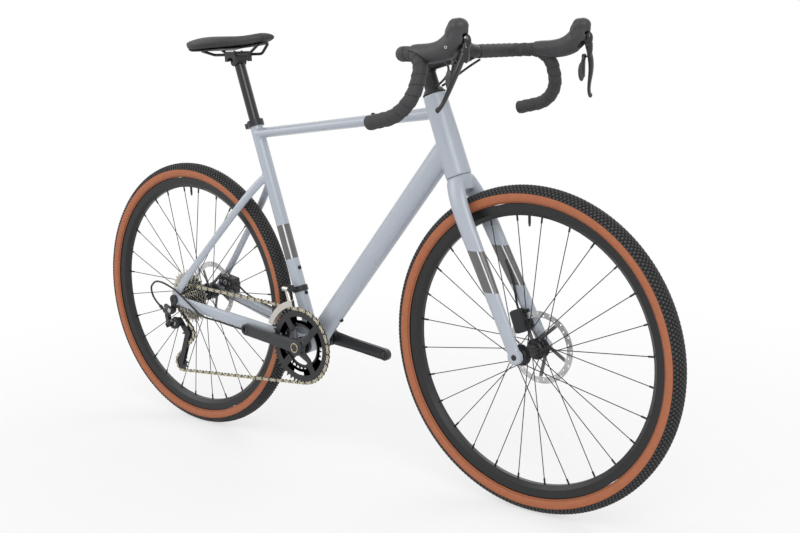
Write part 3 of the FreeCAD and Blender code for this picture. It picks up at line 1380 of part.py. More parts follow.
link_bar = box("link_bar", 11, link_length - 3, link_run.Length,
               facing((LINK_TOP + LINK_LOW) * 0.5, link_run, LINK_AXIS))
link_eyes = [link_pin("link_eye_%d" % number, spot, 7, link_length)
             for number, spot in enumerate((LINK_TOP, LINK_LOW))]
link_holes = [link_pin("link_hole_%d" % number, spot, 2.2 + d.running_clearance, link_length + 4)
              for number, spot in enumerate((LINK_TOP, LINK_LOW))]
finish("rd_link", cut("rd_link", fuse("link_blank", link_bar, *link_eyes), *link_holes))

bolt_spot = Vector(HANGER_EYE.x, float(-hanger_face), HANGER_EYE.z)
mount_knuckle = cylinder("mount_knuckle", 11, 10, across(bolt_spot - at(0, 10 + d.seat_gap, 0)))
mount_arm = loft("mount_arm", [
    (bolt_spot + at(0, -5, 0), 10, 18),
    (LINK_TOP + at(2, -4, 10), 12, 14),
], True)
# Cable adjuster: a stem on the rear ear and a barrel that the shift housing ends in
CABLE_STOP = LINK_TOP - LINK_AXIS * (link_length / 2 + 2.3)
STOP_AXIS = at(-20, -4, 18).normalize()
adjuster_length = 22
adjuster = [cylinder("adjuster_" + name, radius, length, facing(CABLE_STOP + STOP_AXIS * start, STOP_AXIS))
            for name, start, length, radius in (("stem", 0, adjuster_length, 3.2), ("barrel", 11, 9, 4.6))]
top_room = link_pin("link_room_top", LINK_TOP, 9, link_length + 0.6)
top_pin = link_pin("top_pin", LINK_TOP, 2.2, link_length + 8)
hanger_room = cylinder("hanger_room", 14, 30, across(bolt_spot - at(0, d.seat_gap, 0)))
mount_body = cut("mount_body", fuse("mount_solid", mount_knuckle, mount_arm, *adjuster, *knuckle_ears[2:]),
                 top_room, hanger_room)
finish("rd_mount", fuse("rd_mount", mount_body, top_pin))

# Front derailleur: band on the seat tube, body, and a cage on a link
band_height = 130
band_ring = d.seat_tube_diameter / 2 + d.running_clearance
band = turned("fd_band", [
    (band_ring, 0), (band_ring + 3, 0), (band_ring + 3, 14), (band_ring, 14),
], in_frame(SEAT, 0, 0, band_height))
FD_PIVOT = CRANK_AXLE + at(-44, -d.chain_plane + 4, 138)
fd_arm = loft("fd_arm", [
    (seat_point(-2, -band_ring, band_height + 7), 14, 20),
    (FD_PIVOT + at(0, 9, 2), 12, 16),
], True, Vector(0, 0, 1))
ALONG_X = Rotation(Vector(0, 1, 0), 90)
fd_ears = [cylinder("fd_ear_%d" % end, 6, 4, Placement(FD_PIVOT + at(end * 11 - 2, 0, 0), ALONG_X))
           for end in (-1, 1)]
fd_yoke = box("fd_yoke", 26, 6, 12, Placement(FD_PIVOT + at(0, 11, 2), Rotation()))
fd_bridge = [box("fd_bridge_%d" % end, 4, 12, 11, Placement(FD_PIVOT + at(end * 11, 6, 1), Rotation()))
             for end in (-1, 1)]
fd_room = cylinder("fd_room", 7.5, 18.4, Placement(FD_PIVOT - at(9.2, 0, 0), Rotation(Vector(0, 1, 0), 90)))
fd_tube = cylinder("fd_tube_room", band_ring + 0.2, 60, in_frame(SEAT, 0, 0, band_height - 20))
fd_pin = cylinder("fd_pin", 2, 26, Placement(FD_PIVOT - at(13, 0, 0), Rotation(Vector(0, 1, 0), 90)))
fd_block = cut("fd_block", fuse("fd_solid", fd_arm, fd_yoke, *fd_ears, *fd_bridge), fd_room, fd_tube)
finish("fd_body", fuse("fd_body", band, fd_block, fd_pin))

cage_low = pitch_radius(large) + TIP_HEIGHT + float(d.front_cage_clearance)
cage_depth = 15
CAGE_NOSE = 100
CAGE_SPAN = 56


def cage_side(name, low, thickness):
    """Curved cage plate, a sector of a ring about the crank axle."""
    turn = Rotation(Vector(0, 1, 0), -(CAGE_NOSE + CAGE_SPAN))
    place = Placement(CRANK_AXLE + at(0, low, 0), turn.multiply(ACROSS))
    outer = cylinder(name + "_outer", cage_low + cage_depth, thickness, place)
    outer.Angle = CAGE_SPAN
    inner = cylinder(name + "_inner", cage_low, thickness, place)
    return cut(name, outer, inner)


cage_half = 4
cage_outer = cage_side("fd_outer_plate", -d.chain_plane - cage_half - 1.2, 1.2)
cage_inner = cage_side("fd_inner_plate", -d.chain_plane + cage_half, 1.2)
BRIDGE_ANGLE = CAGE_NOSE + 5
bridge_turn = Rotation(Vector(0, 1, 0), -BRIDGE_ANGLE)
bridge_spot = CRANK_AXLE + bridge_turn.multVec(at(cage_low + cage_depth - 1, 0, 0))
cage_top = box("fd_cage_top", 12, cage_half * 2 + 2.4, 2, Placement(
    bridge_spot - at(0, d.chain_plane, 0), Rotation(Vector(0, 1, 0), 90 - BRIDGE_ANGLE)))
fd_link = loft("fd_link", [
    (FD_PIVOT, 10, 9),
    (bridge_spot - at(2, d.chain_plane, 1), 11, 7),
], True, Vector(1, 0, 0))
fd_eye = cylinder("fd_eye", 6.5, 17.8, Placement(FD_PIVOT - at(8.9, 0, 0), Rotation(Vector(0, 1, 0), 90)))
fd_hole = cylinder("fd_hole", 2 + d.running_clearance, 24, Placement(FD_PIVOT - at(12, 0, 0), ALONG_X))
fd_blank = fuse("fd_cage_blank", cage_outer, cage_inner, cage_top, fd_link, fd_eye)
finish("fd_cage", cut("fd_cage", fd_blank, fd_hole))

# Brake calipers and their pads


def caliper(prefix, axle, offset, angle, long_axis, carrier, length, reach):
    """Two-piston caliper round the rotor's edge, with a foot on the frame or fork."""
    turn = facing(Vector(), long_axis).Rotation
    spot = Rotation(Vector(0, 1, 0), -angle).multVec(at(d.rotor_diameter / 2 - d.rotor_track / 2, 0, 0))
    place = Placement(axle + spot + at(0, offset, 0), turn)
    pad_depth = d.pad_thickness + d.pad_gap + d.rotor_thickness / 2
    block = box(prefix + "_caliper_block", 30, pad_depth * 2 + 18, length, place)
    drum = cylinder(prefix + "_caliper_drum", length * 0.52, 60, across(place.Base - at(0, 30, 0)))
    waist = common(prefix + "_caliper_waist", block, drum)
    foot = box(prefix + "_caliper_foot", reach, 22, length * 0.8, in_frame(place, reach / 2, 12, 0))
    rotor_room = cylinder(prefix + "_rotor_room", d.rotor_diameter / 2 + 2, d.rotor_thickness + 2,
                          across(axle + at(0, offset - d.rotor_thickness / 2 - 1, 0)))
    pad_room = box(prefix + "_pad_room", 19, pad_depth * 2 + 0.6, 27, place)
    finish(prefix + "_caliper", cut(prefix + "_caliper", fuse(prefix + "_caliper_blank", waist, foot),
                                    rotor_room, pad_room, *carrier))
    for side, name in ((-1, "inner"), (1, "outer")):
        out = side * (d.rotor_thickness / 2 + d.pad_gap + d.pad_thickness / 2)
        pad = box("%s_pad_%s" % (prefix, name), 16, d.pad_thickness, 26, in_frame(place, 0, out, 0))
        finish("%s_pad_%s" % (prefix, name), pad)
    return place


stay_line = (CRANK_AXLE - REAR_AXLE).normalize()
steer_up = STEER_TURN.multVec(Vector(0, 0, 1))
caliper_length = 52
FRONT_CALIPER = caliper("front", FRONT_AXLE, d.front_rotor_offset, 133, steer_up, [fork], caliper_length, 26)
REAR_CALIPER = caliper("rear", REAR_AXLE, d.rear_rotor_offset, 26, stay_line,
                       [chainstay_outer["left"], seatstay_outer["left"]], caliper_length, 30)

# Hoses and housing
hose = d.hose_diameter / 2
hose_start = caliper_length / 2 + float(d.seat_gap)
housing_loop = [REAR_AXLE + at(*offset) for offset in (
    (105, -80, -34), (75, -82.5, -12), (39, -84.5, 12), (7, -85.5, 30), (-36, -86, 43), (-70, -85, 44),
    (-95, -82, 24), (-92, -80, 0))]
housing_end = CABLE_STOP + STOP_AXIS * (adjuster_length + float(d.seat_gap))
shift_housing = swept("shift_housing", [along_stay(share, -1, -1) for share in (0.22, 0.34, 0.46, 0.58, 0.68)]
                      + housing_loop + [housing_end + STOP_AXIS * 13, housing_end], hose)
rear_end_point = REAR_CALIPER.Base + stay_line * hose_start + at(0, 4, 0)
rear_hose = swept("rear_hose", [along_stay(share, 1, 1) for share in (0.16, 0.28, 0.4, 0.5, 0.6)] + [
    rear_end_point + at(44, 1, -28), rear_end_point + at(20, 1, -15), rear_end_point], hose)
finish("frame_cables", group("frame_cables", shift_housing, rear_hose))

front_end_point = FRONT_CALIPER.Base + steer_up * hose_start + at(0, 2, 0)
front_run = []
for share, ahead in ((0.5, 8), (0.58, 4), (0.66, -3)):
    out, width, depth = leg_form(share)
    inside = out - width / 2 - hose - d.seat_gap
    front_run.append(leg_point(share, inside) + STEER_TURN.multVec(at(ahead, 0, 0)))
front_hose = swept("front_hose", front_run + [front_end_point + steer_up * 10, front_end_point], hose)
bar_hoses = [swept("bar_hose_%d" % side, [
    bar_point(side, 2, tape_start + 4, -tape_radius - hose - d.seat_gap),
    bar_point(side, -2, tape_start - 18, -tape_radius - 12),
    bar_point(side, -16, 24, -42),
    bar_point(side, -36, 14, -58),
    steer_point(19, side * 10, head_top + 12),
], hose) for side in (-1, 1)]
finish("front_hoses", group("front_hoses", front_hose, *bar_hoses))

# Recompute, check every object and write one file for each sub-part
doc.recompute()
failed = [item.Name for item in doc.Objects if "Invalid" in item.State or "Error" in item.State]
for item in sub_parts:
    if item.Shape.isNull() or not item.Shape.isValid() or not item.Shape.Solids:
        failed.append(item.Label)
if failed:
    raise RuntimeError("failed: " + ", ".join(failed))
os.makedirs("parts", exist_ok=True)
for item in sub_parts:
    item.Shape.exportStep("parts/%s.step" % item.Label)
print("%d sub-parts written" % len(sub_parts))
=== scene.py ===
import math

import bmesh
import bpy
from mathutils import Matrix, Quaternion, Vector


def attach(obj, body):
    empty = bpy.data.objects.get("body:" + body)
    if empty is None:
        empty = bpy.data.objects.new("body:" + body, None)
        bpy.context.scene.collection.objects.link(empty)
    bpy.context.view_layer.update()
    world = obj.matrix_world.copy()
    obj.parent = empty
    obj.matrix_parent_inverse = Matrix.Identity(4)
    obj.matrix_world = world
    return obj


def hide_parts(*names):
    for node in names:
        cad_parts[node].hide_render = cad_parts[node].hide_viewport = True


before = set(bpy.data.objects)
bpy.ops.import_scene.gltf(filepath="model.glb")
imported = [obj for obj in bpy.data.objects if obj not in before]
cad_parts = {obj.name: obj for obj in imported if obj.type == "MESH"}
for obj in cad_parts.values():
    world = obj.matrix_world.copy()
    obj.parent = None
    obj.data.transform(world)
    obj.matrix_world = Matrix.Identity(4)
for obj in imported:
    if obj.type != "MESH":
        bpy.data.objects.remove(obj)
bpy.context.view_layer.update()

# Welded frame. Aluminium tubes are mitred, welded and filed smooth, then sprayed pale blue-grey
# under a satin clear coat. The skin runs the tubes' own outsides together, so each weld blends,
# and a brown-grey band with a thin white line on each side is masked on the seat tube.
CRANK_AXLE = Vector((-0.1018, 0, 0.285))
SEAT_UP = Vector((-0.3057, 0, 0.9521))
SEAT_AHEAD = Vector((0.9521, 0, 0.3057))
STEER_BASE = Vector((0.4898, 0, 0.3396))
STEER_UP = Vector((-0.3338, 0, 0.9426))
FORK_LENGTH = 0.404
HEAD_LENGTH = 0.186
SEAT_TUBE_LENGTH = 0.562


def linear(red, green, blue):
    """A screen colour from 0 to 255, as the light values that a shader takes."""
    shares = [value / 255 for value in (red, green, blue)]
    lights = [share / 12.92 if share < 0.0405 else ((share + 0.055) / 1.055) ** 2.4 for share in shares]
    return (*lights, 1.0)


class Tone:
    """A value that varies over a surface. Sums on it add Math nodes to its material."""

    def __init__(self, socket):
        self.socket = socket

    def node(self, kind, settings, inputs, output=0):
        """Adds a node, sets it up, fills its sockets and gives one of its outputs."""
        tree = self.socket.id_data
        added = tree.nodes.new(kind)
        for name, value in settings.items():
            setattr(added, name, value)
        for name, value in inputs.items():
            if isinstance(value, Tone):
                tree.links.new(value.socket, added.inputs[name])
            else:
                added.inputs[name].default_value = value
        return Tone(added.outputs[output])

    def sum(self, operation, first, second=0.0):
        return self.node("ShaderNodeMath", {"operation": operation}, {0: first, 1: second})

    def __add__(self, other):
        return self.sum("ADD", self, other)

    def __sub__(self, other):
        return self.sum("SUBTRACT", self, other)

    def __rsub__(self, other):
        return self.sum("SUBTRACT", other, self)

    def __mul__(self, other):
        return self.sum("MULTIPLY", self, other)

    def __truediv__(self, other):
        return self.sum("DIVIDE", self, other)

    def __abs__(self):
        return self.sum("ABSOLUTE", self)

    __radd__ = __add__
    __rmul__ = __mul__

    def wave(self, spacing):
        """Ridges from 0 to 1, one for each spacing."""
        return self.sum("SINE", self * (2 * math.pi / spacing)) * 0.5 + 0.5

    def step(self, low, high):
        """0 below low and 1 above high, smooth between them."""
        return self.node("ShaderNodeMapRange", {"interpolation_type": "SMOOTHSTEP"},
                         {"Value": self, "From Min": low, "From Max": high})

    def between(self, low, high, edge):
        """1 between two values and 0 outside them."""
        return self.step(low - edge, low + edge) * (1 - self.step(high - edge, high + edge))

    def mix(self, first, second):
        """The first colour where this is 0, the second where it is 1."""
        return self.node("ShaderNodeMix", {"data_type": "RGBA"}, {0: self, 6: first, 7: second}, 2)

    def noise(self, scale, detail=2.0):
        inputs = {"Vector": self, "Scale": scale, "Detail": detail}
        return self.node("ShaderNodeTexNoise", {}, inputs, "Fac")

    def cells(self, scale):
        """Distance from the middles of scattered cells."""
        return self.node("ShaderNodeTexVoronoi", {}, {"Vector": self, "Scale": scale}, "Distance")

    def along(self, origin, direction):
        """How far a point lies from an origin in one direction."""
        there = self.node("ShaderNodeVectorMath", {"operation": "SUBTRACT"}, {0: self, 1: origin})
        return self.node("ShaderNodeVectorMath", {"operation": "DOT_PRODUCT"},
                         {0: there, 1: direction}, "Value")

    def around(self, axle):
        """Distance from an axle that lies across the bike, and the angle round it."""
        ahead = self.along(axle, (1, 0, 0))
        up = self.along(axle, (0, 0, 1))
        return self.sum("SQRT", ahead * ahead + up * up), self.sum("ARCTAN2", up, ahead)


def new_finish(name):
    """A material with one shader, and the point on the piece that its patterns read."""
    material = bpy.data.materials.new(name)
    material.use_nodes = True
    return material, Tone(material.node_tree.nodes.new("ShaderNodeTexCoord").outputs["Object"])


def set_finish(material, values, bump=None, depth=0.0001):
    """Fills the shader's sockets. The bump, a height from 0 to 1, is that many metres deep."""
    shader = material.node_tree.nodes["Principled BSDF"]
    if bump is not None:
        values["Normal"] = bump.node("ShaderNodeBump", {}, {"Height": bump, "Distance": depth}, "Normal")
    for name, value in values.items():
        if isinstance(value, Tone):
            material.node_tree.links.new(value.socket, shader.inputs[name])
        else:
            shader.inputs[name].default_value = value


def new_piece(name, shape, finishes, body, slot, *nodes):
    """Makes a bmesh an object that rides on a body and stands for CAD nodes."""
    mesh = bpy.data.meshes.new(name)
    shape.to_mesh(mesh)
    shape.free()
    mesh.shade_smooth()
    piece = bpy.data.objects.new(name, mesh)
    bpy.context.scene.collection.objects.link(piece)
    for material in finishes:
        mesh.materials.append(material)
    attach(piece, body)
    if nodes:
        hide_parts(*nodes)
    return piece


def settle(piece):
    """Applies the piece's modifiers to its mesh."""
    finishes = list(piece.data.materials)
    seen = piece.evaluated_get(bpy.context.evaluated_depsgraph_get())
    mesh = bpy.data.meshes.new_from_object(seen)
    piece.modifiers.clear()
    piece.data = mesh
    mesh.shade_smooth()
    mesh.materials.clear()
    for material in finishes:
        mesh.materials.append(material)


def rod(shape, start, end, radius):
    """A closed round rod from one point to another."""
    run = end - start
    place = Matrix.Translation((start + end) / 2) @ run.to_track_quat("Z", "Y").to_matrix().to_4x4()
    bmesh.ops.create_cone(shape, cap_ends=True, segments=40, radius1=radius, radius2=radius,
                          depth=run.length, matrix=place)


def only_verts(items):
    """The points among an operator's results."""
    return [item for item in items if isinstance(item, bmesh.types.BMVert)]


def fill_stays(shape, node, slices=28, overlap=0.2):
    """Solid stays in place of hollow ones: short slices of each side, every one drawn tight."""
    places = [vert.co.copy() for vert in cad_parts[node].data.vertices]
    low = min(place.x for place in places)
    slice_length = (max(place.x for place in places) - low) / slices
    for side in (-1, 1):
        for number in range(slices):
            start = low + slice_length * (number - overlap)
            end = start + slice_length * (1 + 2 * overlap)
            near = [place for place in places if place.y * side > 0 and start <= place.x <= end]
            verts = [shape.verts.new(place) for place in near]
            hull = bmesh.ops.convex_hull(shape, input=verts)
            spare = set(only_verts(hull["geom_interior"] + hull["geom_unused"]))
            bmesh.ops.delete(shape, geom=list(spare), context="VERTS")


def soft_skin(name, nodes, voxel, rounds, finish, body, slot, plugs=(), balls=(), slabs=(), stays=()):
    """One smooth skin over CAD nodes. Plugs are rods that fill bores, balls and slabs are swellings
    with three sizes, and stays are hollow nodes to fill."""
    shape = bmesh.new()
    for node in stays:
        fill_stays(shape, node)
    for node in nodes:
        if node not in stays:
            shape.from_mesh(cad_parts[node].data)
    for start, end, radius in plugs:
        rod(shape, start, end, radius)
    for middle, sizes in balls:
        place = Matrix.Translation(middle) @ Matrix.Diagonal((*sizes, 1))
        bmesh.ops.create_uvsphere(shape, u_segments=32, v_segments=20, radius=1, matrix=place)
    for start, end, sizes in slabs:
        turn = (end - start).to_track_quat("X", "Z").to_matrix().to_4x4()
        place = Matrix.Translation((start + end) / 2) @ turn @ Matrix.Diagonal((*sizes, 1))
        bmesh.ops.create_cube(shape, size=1, matrix=place)
    bmesh.ops.remove_doubles(shape, verts=shape.verts, dist=1e-6)
    piece = new_piece(name, shape, [finish], body, slot, *nodes)
    skin = piece.modifiers.new("skin", "REMESH")
    skin.mode = "VOXEL"
    skin.voxel_size = voxel
    filed = piece.modifiers.new("filed", "SMOOTH")
    filed.factor = 0.5
    filed.iterations = rounds
    settle(piece)
    return piece


PAINT = linear(171, 178, 188)
BAND = linear(92, 90, 89)
LINE = linear(232, 236, 240)
MASK_EDGE = 0.0003
SEAT_BAND = (0.214, 0.301)
LINE_OUT = 0.0115
LINE_HALF = 0.0012
CLEAR_COAT = {"Coat Weight": 0.5, "Coat Roughness": 0.14, "IOR": 1.5}


def paint_values(point, colour):
    """Satin paint: a slow drift of tone, and a fine peel in the clear coat."""
    drift = point.noise(9.0).mix((0.94, 0.94, 0.94, 1), (1.04, 1.04, 1.04, 1))
    tinted = point.node("ShaderNodeMix", {"data_type": "RGBA", "blend_type": "MULTIPLY"},
                        {0: 1.0, 6: colour, 7: drift}, 2)
    return {"Base Color": tinted, "Roughness": point.noise(60.0) * 0.08 + 0.3, **CLEAR_COAT}


frame_paint, point = new_finish("frame_paint")
up_tube = point.along(CRANK_AXLE, SEAT_UP)
off_tube = point.along(CRANK_AXLE, SEAT_AHEAD)
beside = point.along(CRANK_AXLE, (0, 1, 0))
on_tube = 1 - abs(off_tube).step(0.019, 0.02)
band = up_tube.between(*SEAT_BAND, MASK_EDGE) * on_tube
line = (abs(beside) - LINE_OUT).between(-LINE_HALF, LINE_HALF, MASK_EDGE) * off_tube.step(0.0, 0.001)
colour = band.mix(PAINT, (line * band).mix(BAND, LINE))
set_finish(frame_paint, paint_values(point, colour), point.noise(700.0), 0.00003)

head_low = STEER_BASE + STEER_UP * FORK_LENGTH
top_tube_line = (Vector((-0.266, 0, 0.797)), Vector((0.3066, 0, 0.857)))
down_tube_line = (CRANK_AXLE, Vector((0.331, 0, 0.788)))
FRAME_TUBES = ("head_tube", "top_tube", "down_tube", "seat_tube", "bottom_bracket_shell", "chainstays",
               "seatstays")
half_shell = Vector((0, 0.034, 0))
bore_plugs = [
    (head_low, head_low + STEER_UP * HEAD_LENGTH, 0.024),
    (CRANK_AXLE, CRANK_AXLE + SEAT_UP * SEAT_TUBE_LENGTH, 0.0155),
    (CRANK_AXLE - half_shell, CRANK_AXLE + half_shell, 0.0205),
    (*top_tube_line, 0.0128),
    (*down_tube_line, 0.022),
]
soft_skin("frame_skin", FRAME_TUBES, 0.0024, 5, frame_paint, "frame", "frame_paint", plugs=bore_plugs,
          stays=("seatstays",))

# Frame fittings. The seat collar, bearing cups, derailleur hanger and through axle are turned or
# forged aluminium, anodised black. Bolts are blackened steel, and housings are lined nylon tube.


def dress(finish, *nodes):
    """Gives CAD nodes a finish."""
    for node in nodes:
        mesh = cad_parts[node].data
        mesh.materials.clear()
        mesh.materials.append(finish)
        for face in mesh.polygons:
            face.material_index = 0


def metal(name, colour, roughness, metallic, grain=500.0, depth=0.00002):
    """A worked metal: fine grain in its surface and uneven polish from handling."""
    finish, point = new_finish(name)
    handled = point.noise(35.0, 4.0)
    dark = tuple(part * 0.8 for part in colour[:3]) + (1,)
    set_finish(finish, {"Base Color": handled.mix(dark, colour), "Metallic": metallic,
                        "Roughness": handled * 0.16 + (roughness - 0.08)}, point.noise(grain), depth)
    return finish


black_alloy = metal("black_alloy", linear(46, 47, 49), 0.42, 0.35)
black_steel = metal("black_steel", linear(40, 40, 42), 0.36, 0.5)
bright_steel = metal("bright_steel", linear(205, 203, 196), 0.3, 1.0)
cable_sheath = metal("cable_sheath", linear(32, 32, 34), 0.5, 0.0, 900.0)
gloss_black = metal("gloss_black", linear(28, 28, 30), 0.2, 0.0, 300.0, 0.00001)
dress(black_alloy, "derailleur_hanger", "seat_clamp", "frame_bearings", "rear_thru_axle")
dress(black_steel, "frame_bolts")
dress(cable_sheath, "frame_cables")

# Fork. Moulded carbon legs and crown on a round steerer, painted as the frame is, with the same
# brown-grey band round each leg and a white line down the band.
STEER_AHEAD = Vector((0.9426, 0, 0.3338))
AXLE_OFFSET = 0.049
FORK_BAND = (0.486, 0.571)
FORK_LINE_AHEAD = 0.0105
FORK_LINE_HALF = 0.0013
STEERER_SPAN = (-0.03, 0.27)
STEERER_BORE = 0.0125
fork_paint, point = new_finish("fork_paint")
up_fork = point.along(STEER_BASE, STEER_UP)
ahead = point.along(STEER_BASE, STEER_AHEAD)
leg_middle = (1 - up_fork / FORK_LENGTH) * AXLE_OFFSET
height = point.along((0, 0, 0), (0, 0, 1))
band = height.between(*FORK_BAND, MASK_EDGE)
line = (ahead - leg_middle - FORK_LINE_AHEAD).between(-FORK_LINE_HALF, FORK_LINE_HALF, MASK_EDGE)
colour = band.mix(PAINT, (line * band).mix(BAND, LINE))
set_finish(fork_paint, paint_values(point, colour), point.noise(700.0), 0.00003)
steerer_low, steerer_high = [head_low + STEER_UP * reach for reach in STEERER_SPAN]
soft_skin("fork_skin", ("fork",), 0.0022, 4, fork_paint, "steering", "frame_paint",
          plugs=[(steerer_low, steerer_high, STEERER_BORE)])
dress(black_alloy, "front_thru_axle")
dress(cable_sheath, "front_hoses")

# Headset, stem and bar. Turned spacers and a forged stem, anodised black with a bead-blasted
# grain, and a drawn aluminium drop bar that shows only beside the stem's clamp.
stem_alloy = metal("stem_alloy", linear(38, 38, 40), 0.46, 0.3, 900.0, 0.00004)
dress(stem_alloy, "headset_spacers", "stem", "stem_faceplate", "handlebar")

# Bar tape. A cushioned strip of dark-grey foam, wound from the end of the drop to the clamp with
# each turn lapping the last. A domed plug closes the bar's end.
BAR = Vector((0.3667, 0, 0.9851))
BAR_CORNERS = ((0, 0.0605, 0), (0, 0.208, 0), (0.078, 0.222, 0), (0.075, 0.2697, -0.1123),
               (-0.032, 0.2657, -0.1323))
BAR_BENDS = (0.032, 0.0452, 0.0732)
TUBE_RADIUS = 0.0119
CLAMP_RADIUS = 0.0159
CLAMP_EDGE = 0.046
CLAMP_TAPER = 0.016
TAPE_PITCH = 0.0205
TAPE_THICK = 0.0019
LAP_RISE = 0.0017
LAP_FALL = 0.08
PLUG_RADIUS = 0.0148
PLUG_DOME = ((0.9, 0.0016), (0.6, 0.0028), (0.2, 0.0033))


def bar_line(side, gap):
    """Centre line of one half of the bar: straight runs joined by arcs, about one gap a step."""
    corners = [BAR + Vector((ahead, side * out, up)) for ahead, out, up in BAR_CORNERS]
    joints = [(corners[0], None)]
    for number, radius in enumerate(BAR_BENDS, start=1):
        back = (corners[number - 1] - corners[number]).normalized()
        onward = (corners[number + 1] - corners[number]).normalized()
        half = back.angle(onward) / 2
        middle = corners[number] + (back + onward).normalized() * (radius / math.sin(half))
        reach = radius / math.tan(half)
        joints.append((corners[number] + back * reach, None))
        joints.append((corners[number] + onward * reach, middle))
    joints.append((corners[-1], None))
    points = [joints[0][0]]
    for (start, _), (end, middle) in zip(joints, joints[1:]):
        count = max(1, round((end - start).length / gap))
        for step in range(1, count + 1):
            if middle is None:
                points.append(start.lerp(end, step / count))
            else:
                turn = (start - middle).rotation_difference(end - middle)
                points.append(middle + Quaternion().slerp(turn, step / count) @ (start - middle))
    return points


def ring_edges(ring):
    """The edges that join a ring's own points."""
    nearby = {edge for vert in ring for edge in vert.link_edges}
    return [edge for edge in nearby if all(vert in ring for vert in edge.verts)]


def tube_rings(shape, points, sides):
    """A tube of rings along points, made by extruding one ring; gives its rings."""
    heading = (points[1] - points[0]).normalized()
    place = Matrix.Translation(points[0]) @ heading.to_track_quat("Z", "Y").to_matrix().to_4x4()
    ring = bmesh.ops.create_circle(shape, cap_ends=False, segments=sides, radius=0.01,
                                   matrix=place)["verts"]
    rings = [ring]
    for number in range(1, len(points)):
        after = points[min(number + 1, len(points) - 1)]
        next_heading = (after - points[number - 1]).normalized()
        grown = bmesh.ops.extrude_edge_only(shape, edges=ring_edges(ring))["geom"]
        fresh = set(only_verts(grown))
        turn = heading.rotation_difference(next_heading)
        follow = []
        for vert in ring:
            beside = [edge.other_vert(vert) for edge in vert.link_edges]
            twin = next(other for other in beside if other in fresh)
            twin.co = points[number] + turn @ (vert.co - points[number - 1])
            follow.append(twin)
        ring = follow
        rings.append(ring)
        heading = next_heading
    return rings


bar_wrap, point = new_finish("bar_wrap")
worn = point.noise(25.0, 4.0)
pores = point.cells(420.0)
# Painted shade: each turn of tape is coloured near black along the step where it laps the last.
lap_shade = point.node("ShaderNodeAttribute", {"attribute_name": "lap"}, {}, "Fac").step(0.84, 0.95)
wrapped = worn.mix(linear(44, 44, 46), linear(62, 62, 64))
set_finish(bar_wrap, {"Base Color": lap_shade.mix(wrapped, linear(28, 28, 29)),
                      "Roughness": worn * 0.15 + 0.6}, pores.step(0.1, 0.5), 0.00025)
for side, hand in ((-1, "right"), (1, "left")):
    shape = bmesh.new()
    laps = shape.verts.layers.float.new("lap")
    points = bar_line(side, 0.0017)
    rings = tube_rings(shape, points, 44)
    travelled = 0
    for number, ring in enumerate(rings):
        travelled += (points[number] - points[number - 1]).length if number else 0
        bulge = 1 - min(1, max(0, (abs(points[number].y) - CLAMP_EDGE) / CLAMP_TAPER))
        under = TUBE_RADIUS + (CLAMP_RADIUS - TUBE_RADIUS) * bulge
        for place, vert in enumerate(ring):
            lap = (travelled / TAPE_PITCH + side * place / len(ring)) % 1
            rise = TAPE_THICK + LAP_RISE * lap ** 0.7 * min(1, (1 - lap) / LAP_FALL)
            vert.co = points[number] + (vert.co - points[number]).normalized() * (under + rise)
            vert[laps] = lap
    for ring, inward in ((rings[0], points[0] - points[1]), (rings[-1], points[-1] - points[-2])):
        middle = sum((vert.co for vert in ring), Vector()) / len(ring)
        out = inward.normalized()
        for size, lift in PLUG_DOME:
            grown = bmesh.ops.extrude_edge_only(shape, edges=ring_edges(ring))["geom"]
            ring = only_verts(grown)
            for vert in ring:
                spoke = vert.co - middle
                flat = (spoke - out * spoke.dot(out)).normalized()
                vert.co = middle + flat * (PLUG_RADIUS * size) + out * lift
        bmesh.ops.contextual_create(shape, geom=ring_edges(ring))
    bmesh.ops.recalc_face_normals(shape, faces=shape.faces)
    tape = new_piece("bar_tape_" + hand, shape, [bar_wrap], "steering", "bar_wrap")
    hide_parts("bar_tape")

# Hoods. Moulded rubber is stretched over the lever bodies, swells to a round head ahead of the
# palm and is ribbed where the hand rests.
HOOD_OUT = 0.223
RIB_SPACING = 0.0042
hood_rubber, point = new_finish("hood_rubber")
ribs = point.along(BAR, (0.6, 0, 0.8)).wave(RIB_SPACING)
grip = point.along(BAR, (1, 0, 0)).between(0.07, 0.13, 0.006)
speckle = point.noise(1200.0)
dust = point.noise(30.0, 4.0)
set_finish(hood_rubber, {"Base Color": dust.mix(linear(46, 46, 48), linear(60, 60, 62)),
                         "Roughness": dust * 0.12 + 0.42}, ribs * grip * 0.8 + speckle * 0.3, 0.0004)
HEAD_BALLS = (((0.163, 0.0495), (0.0185, 0.0168, 0.0155)),
              ((0.1535, 0.0455), (0.0155, 0.0168, 0.019)),
              ((0.146, 0.034), (0.0135, 0.0168, 0.022)))
head_balls = [(BAR + Vector((ahead, side * HOOD_OUT, up)), sizes)
              for (ahead, up), sizes in HEAD_BALLS for side in (-1, 1)]
soft_skin("lever_hoods", ("control_hoods",), 0.0014, 9, hood_rubber, "steering", "hood_rubber",
          balls=head_balls)

# Levers. Forged brake blades, enamelled glossy black, swell at the pivot and end in a small knob.
# The shift paddle hangs behind the blade, satin grey, and bright screws close the lever body.
PIVOT = Vector((0.168, 0.222, 0.024))
LEVER_SCREWS = ((0.0135, 0.0078, 0.004, 0.0024), (0.0145, 0.0084, -0.014, 0.0016))
paddle_grey = metal("paddle_grey", linear(66, 67, 70), 0.36, 0.2)


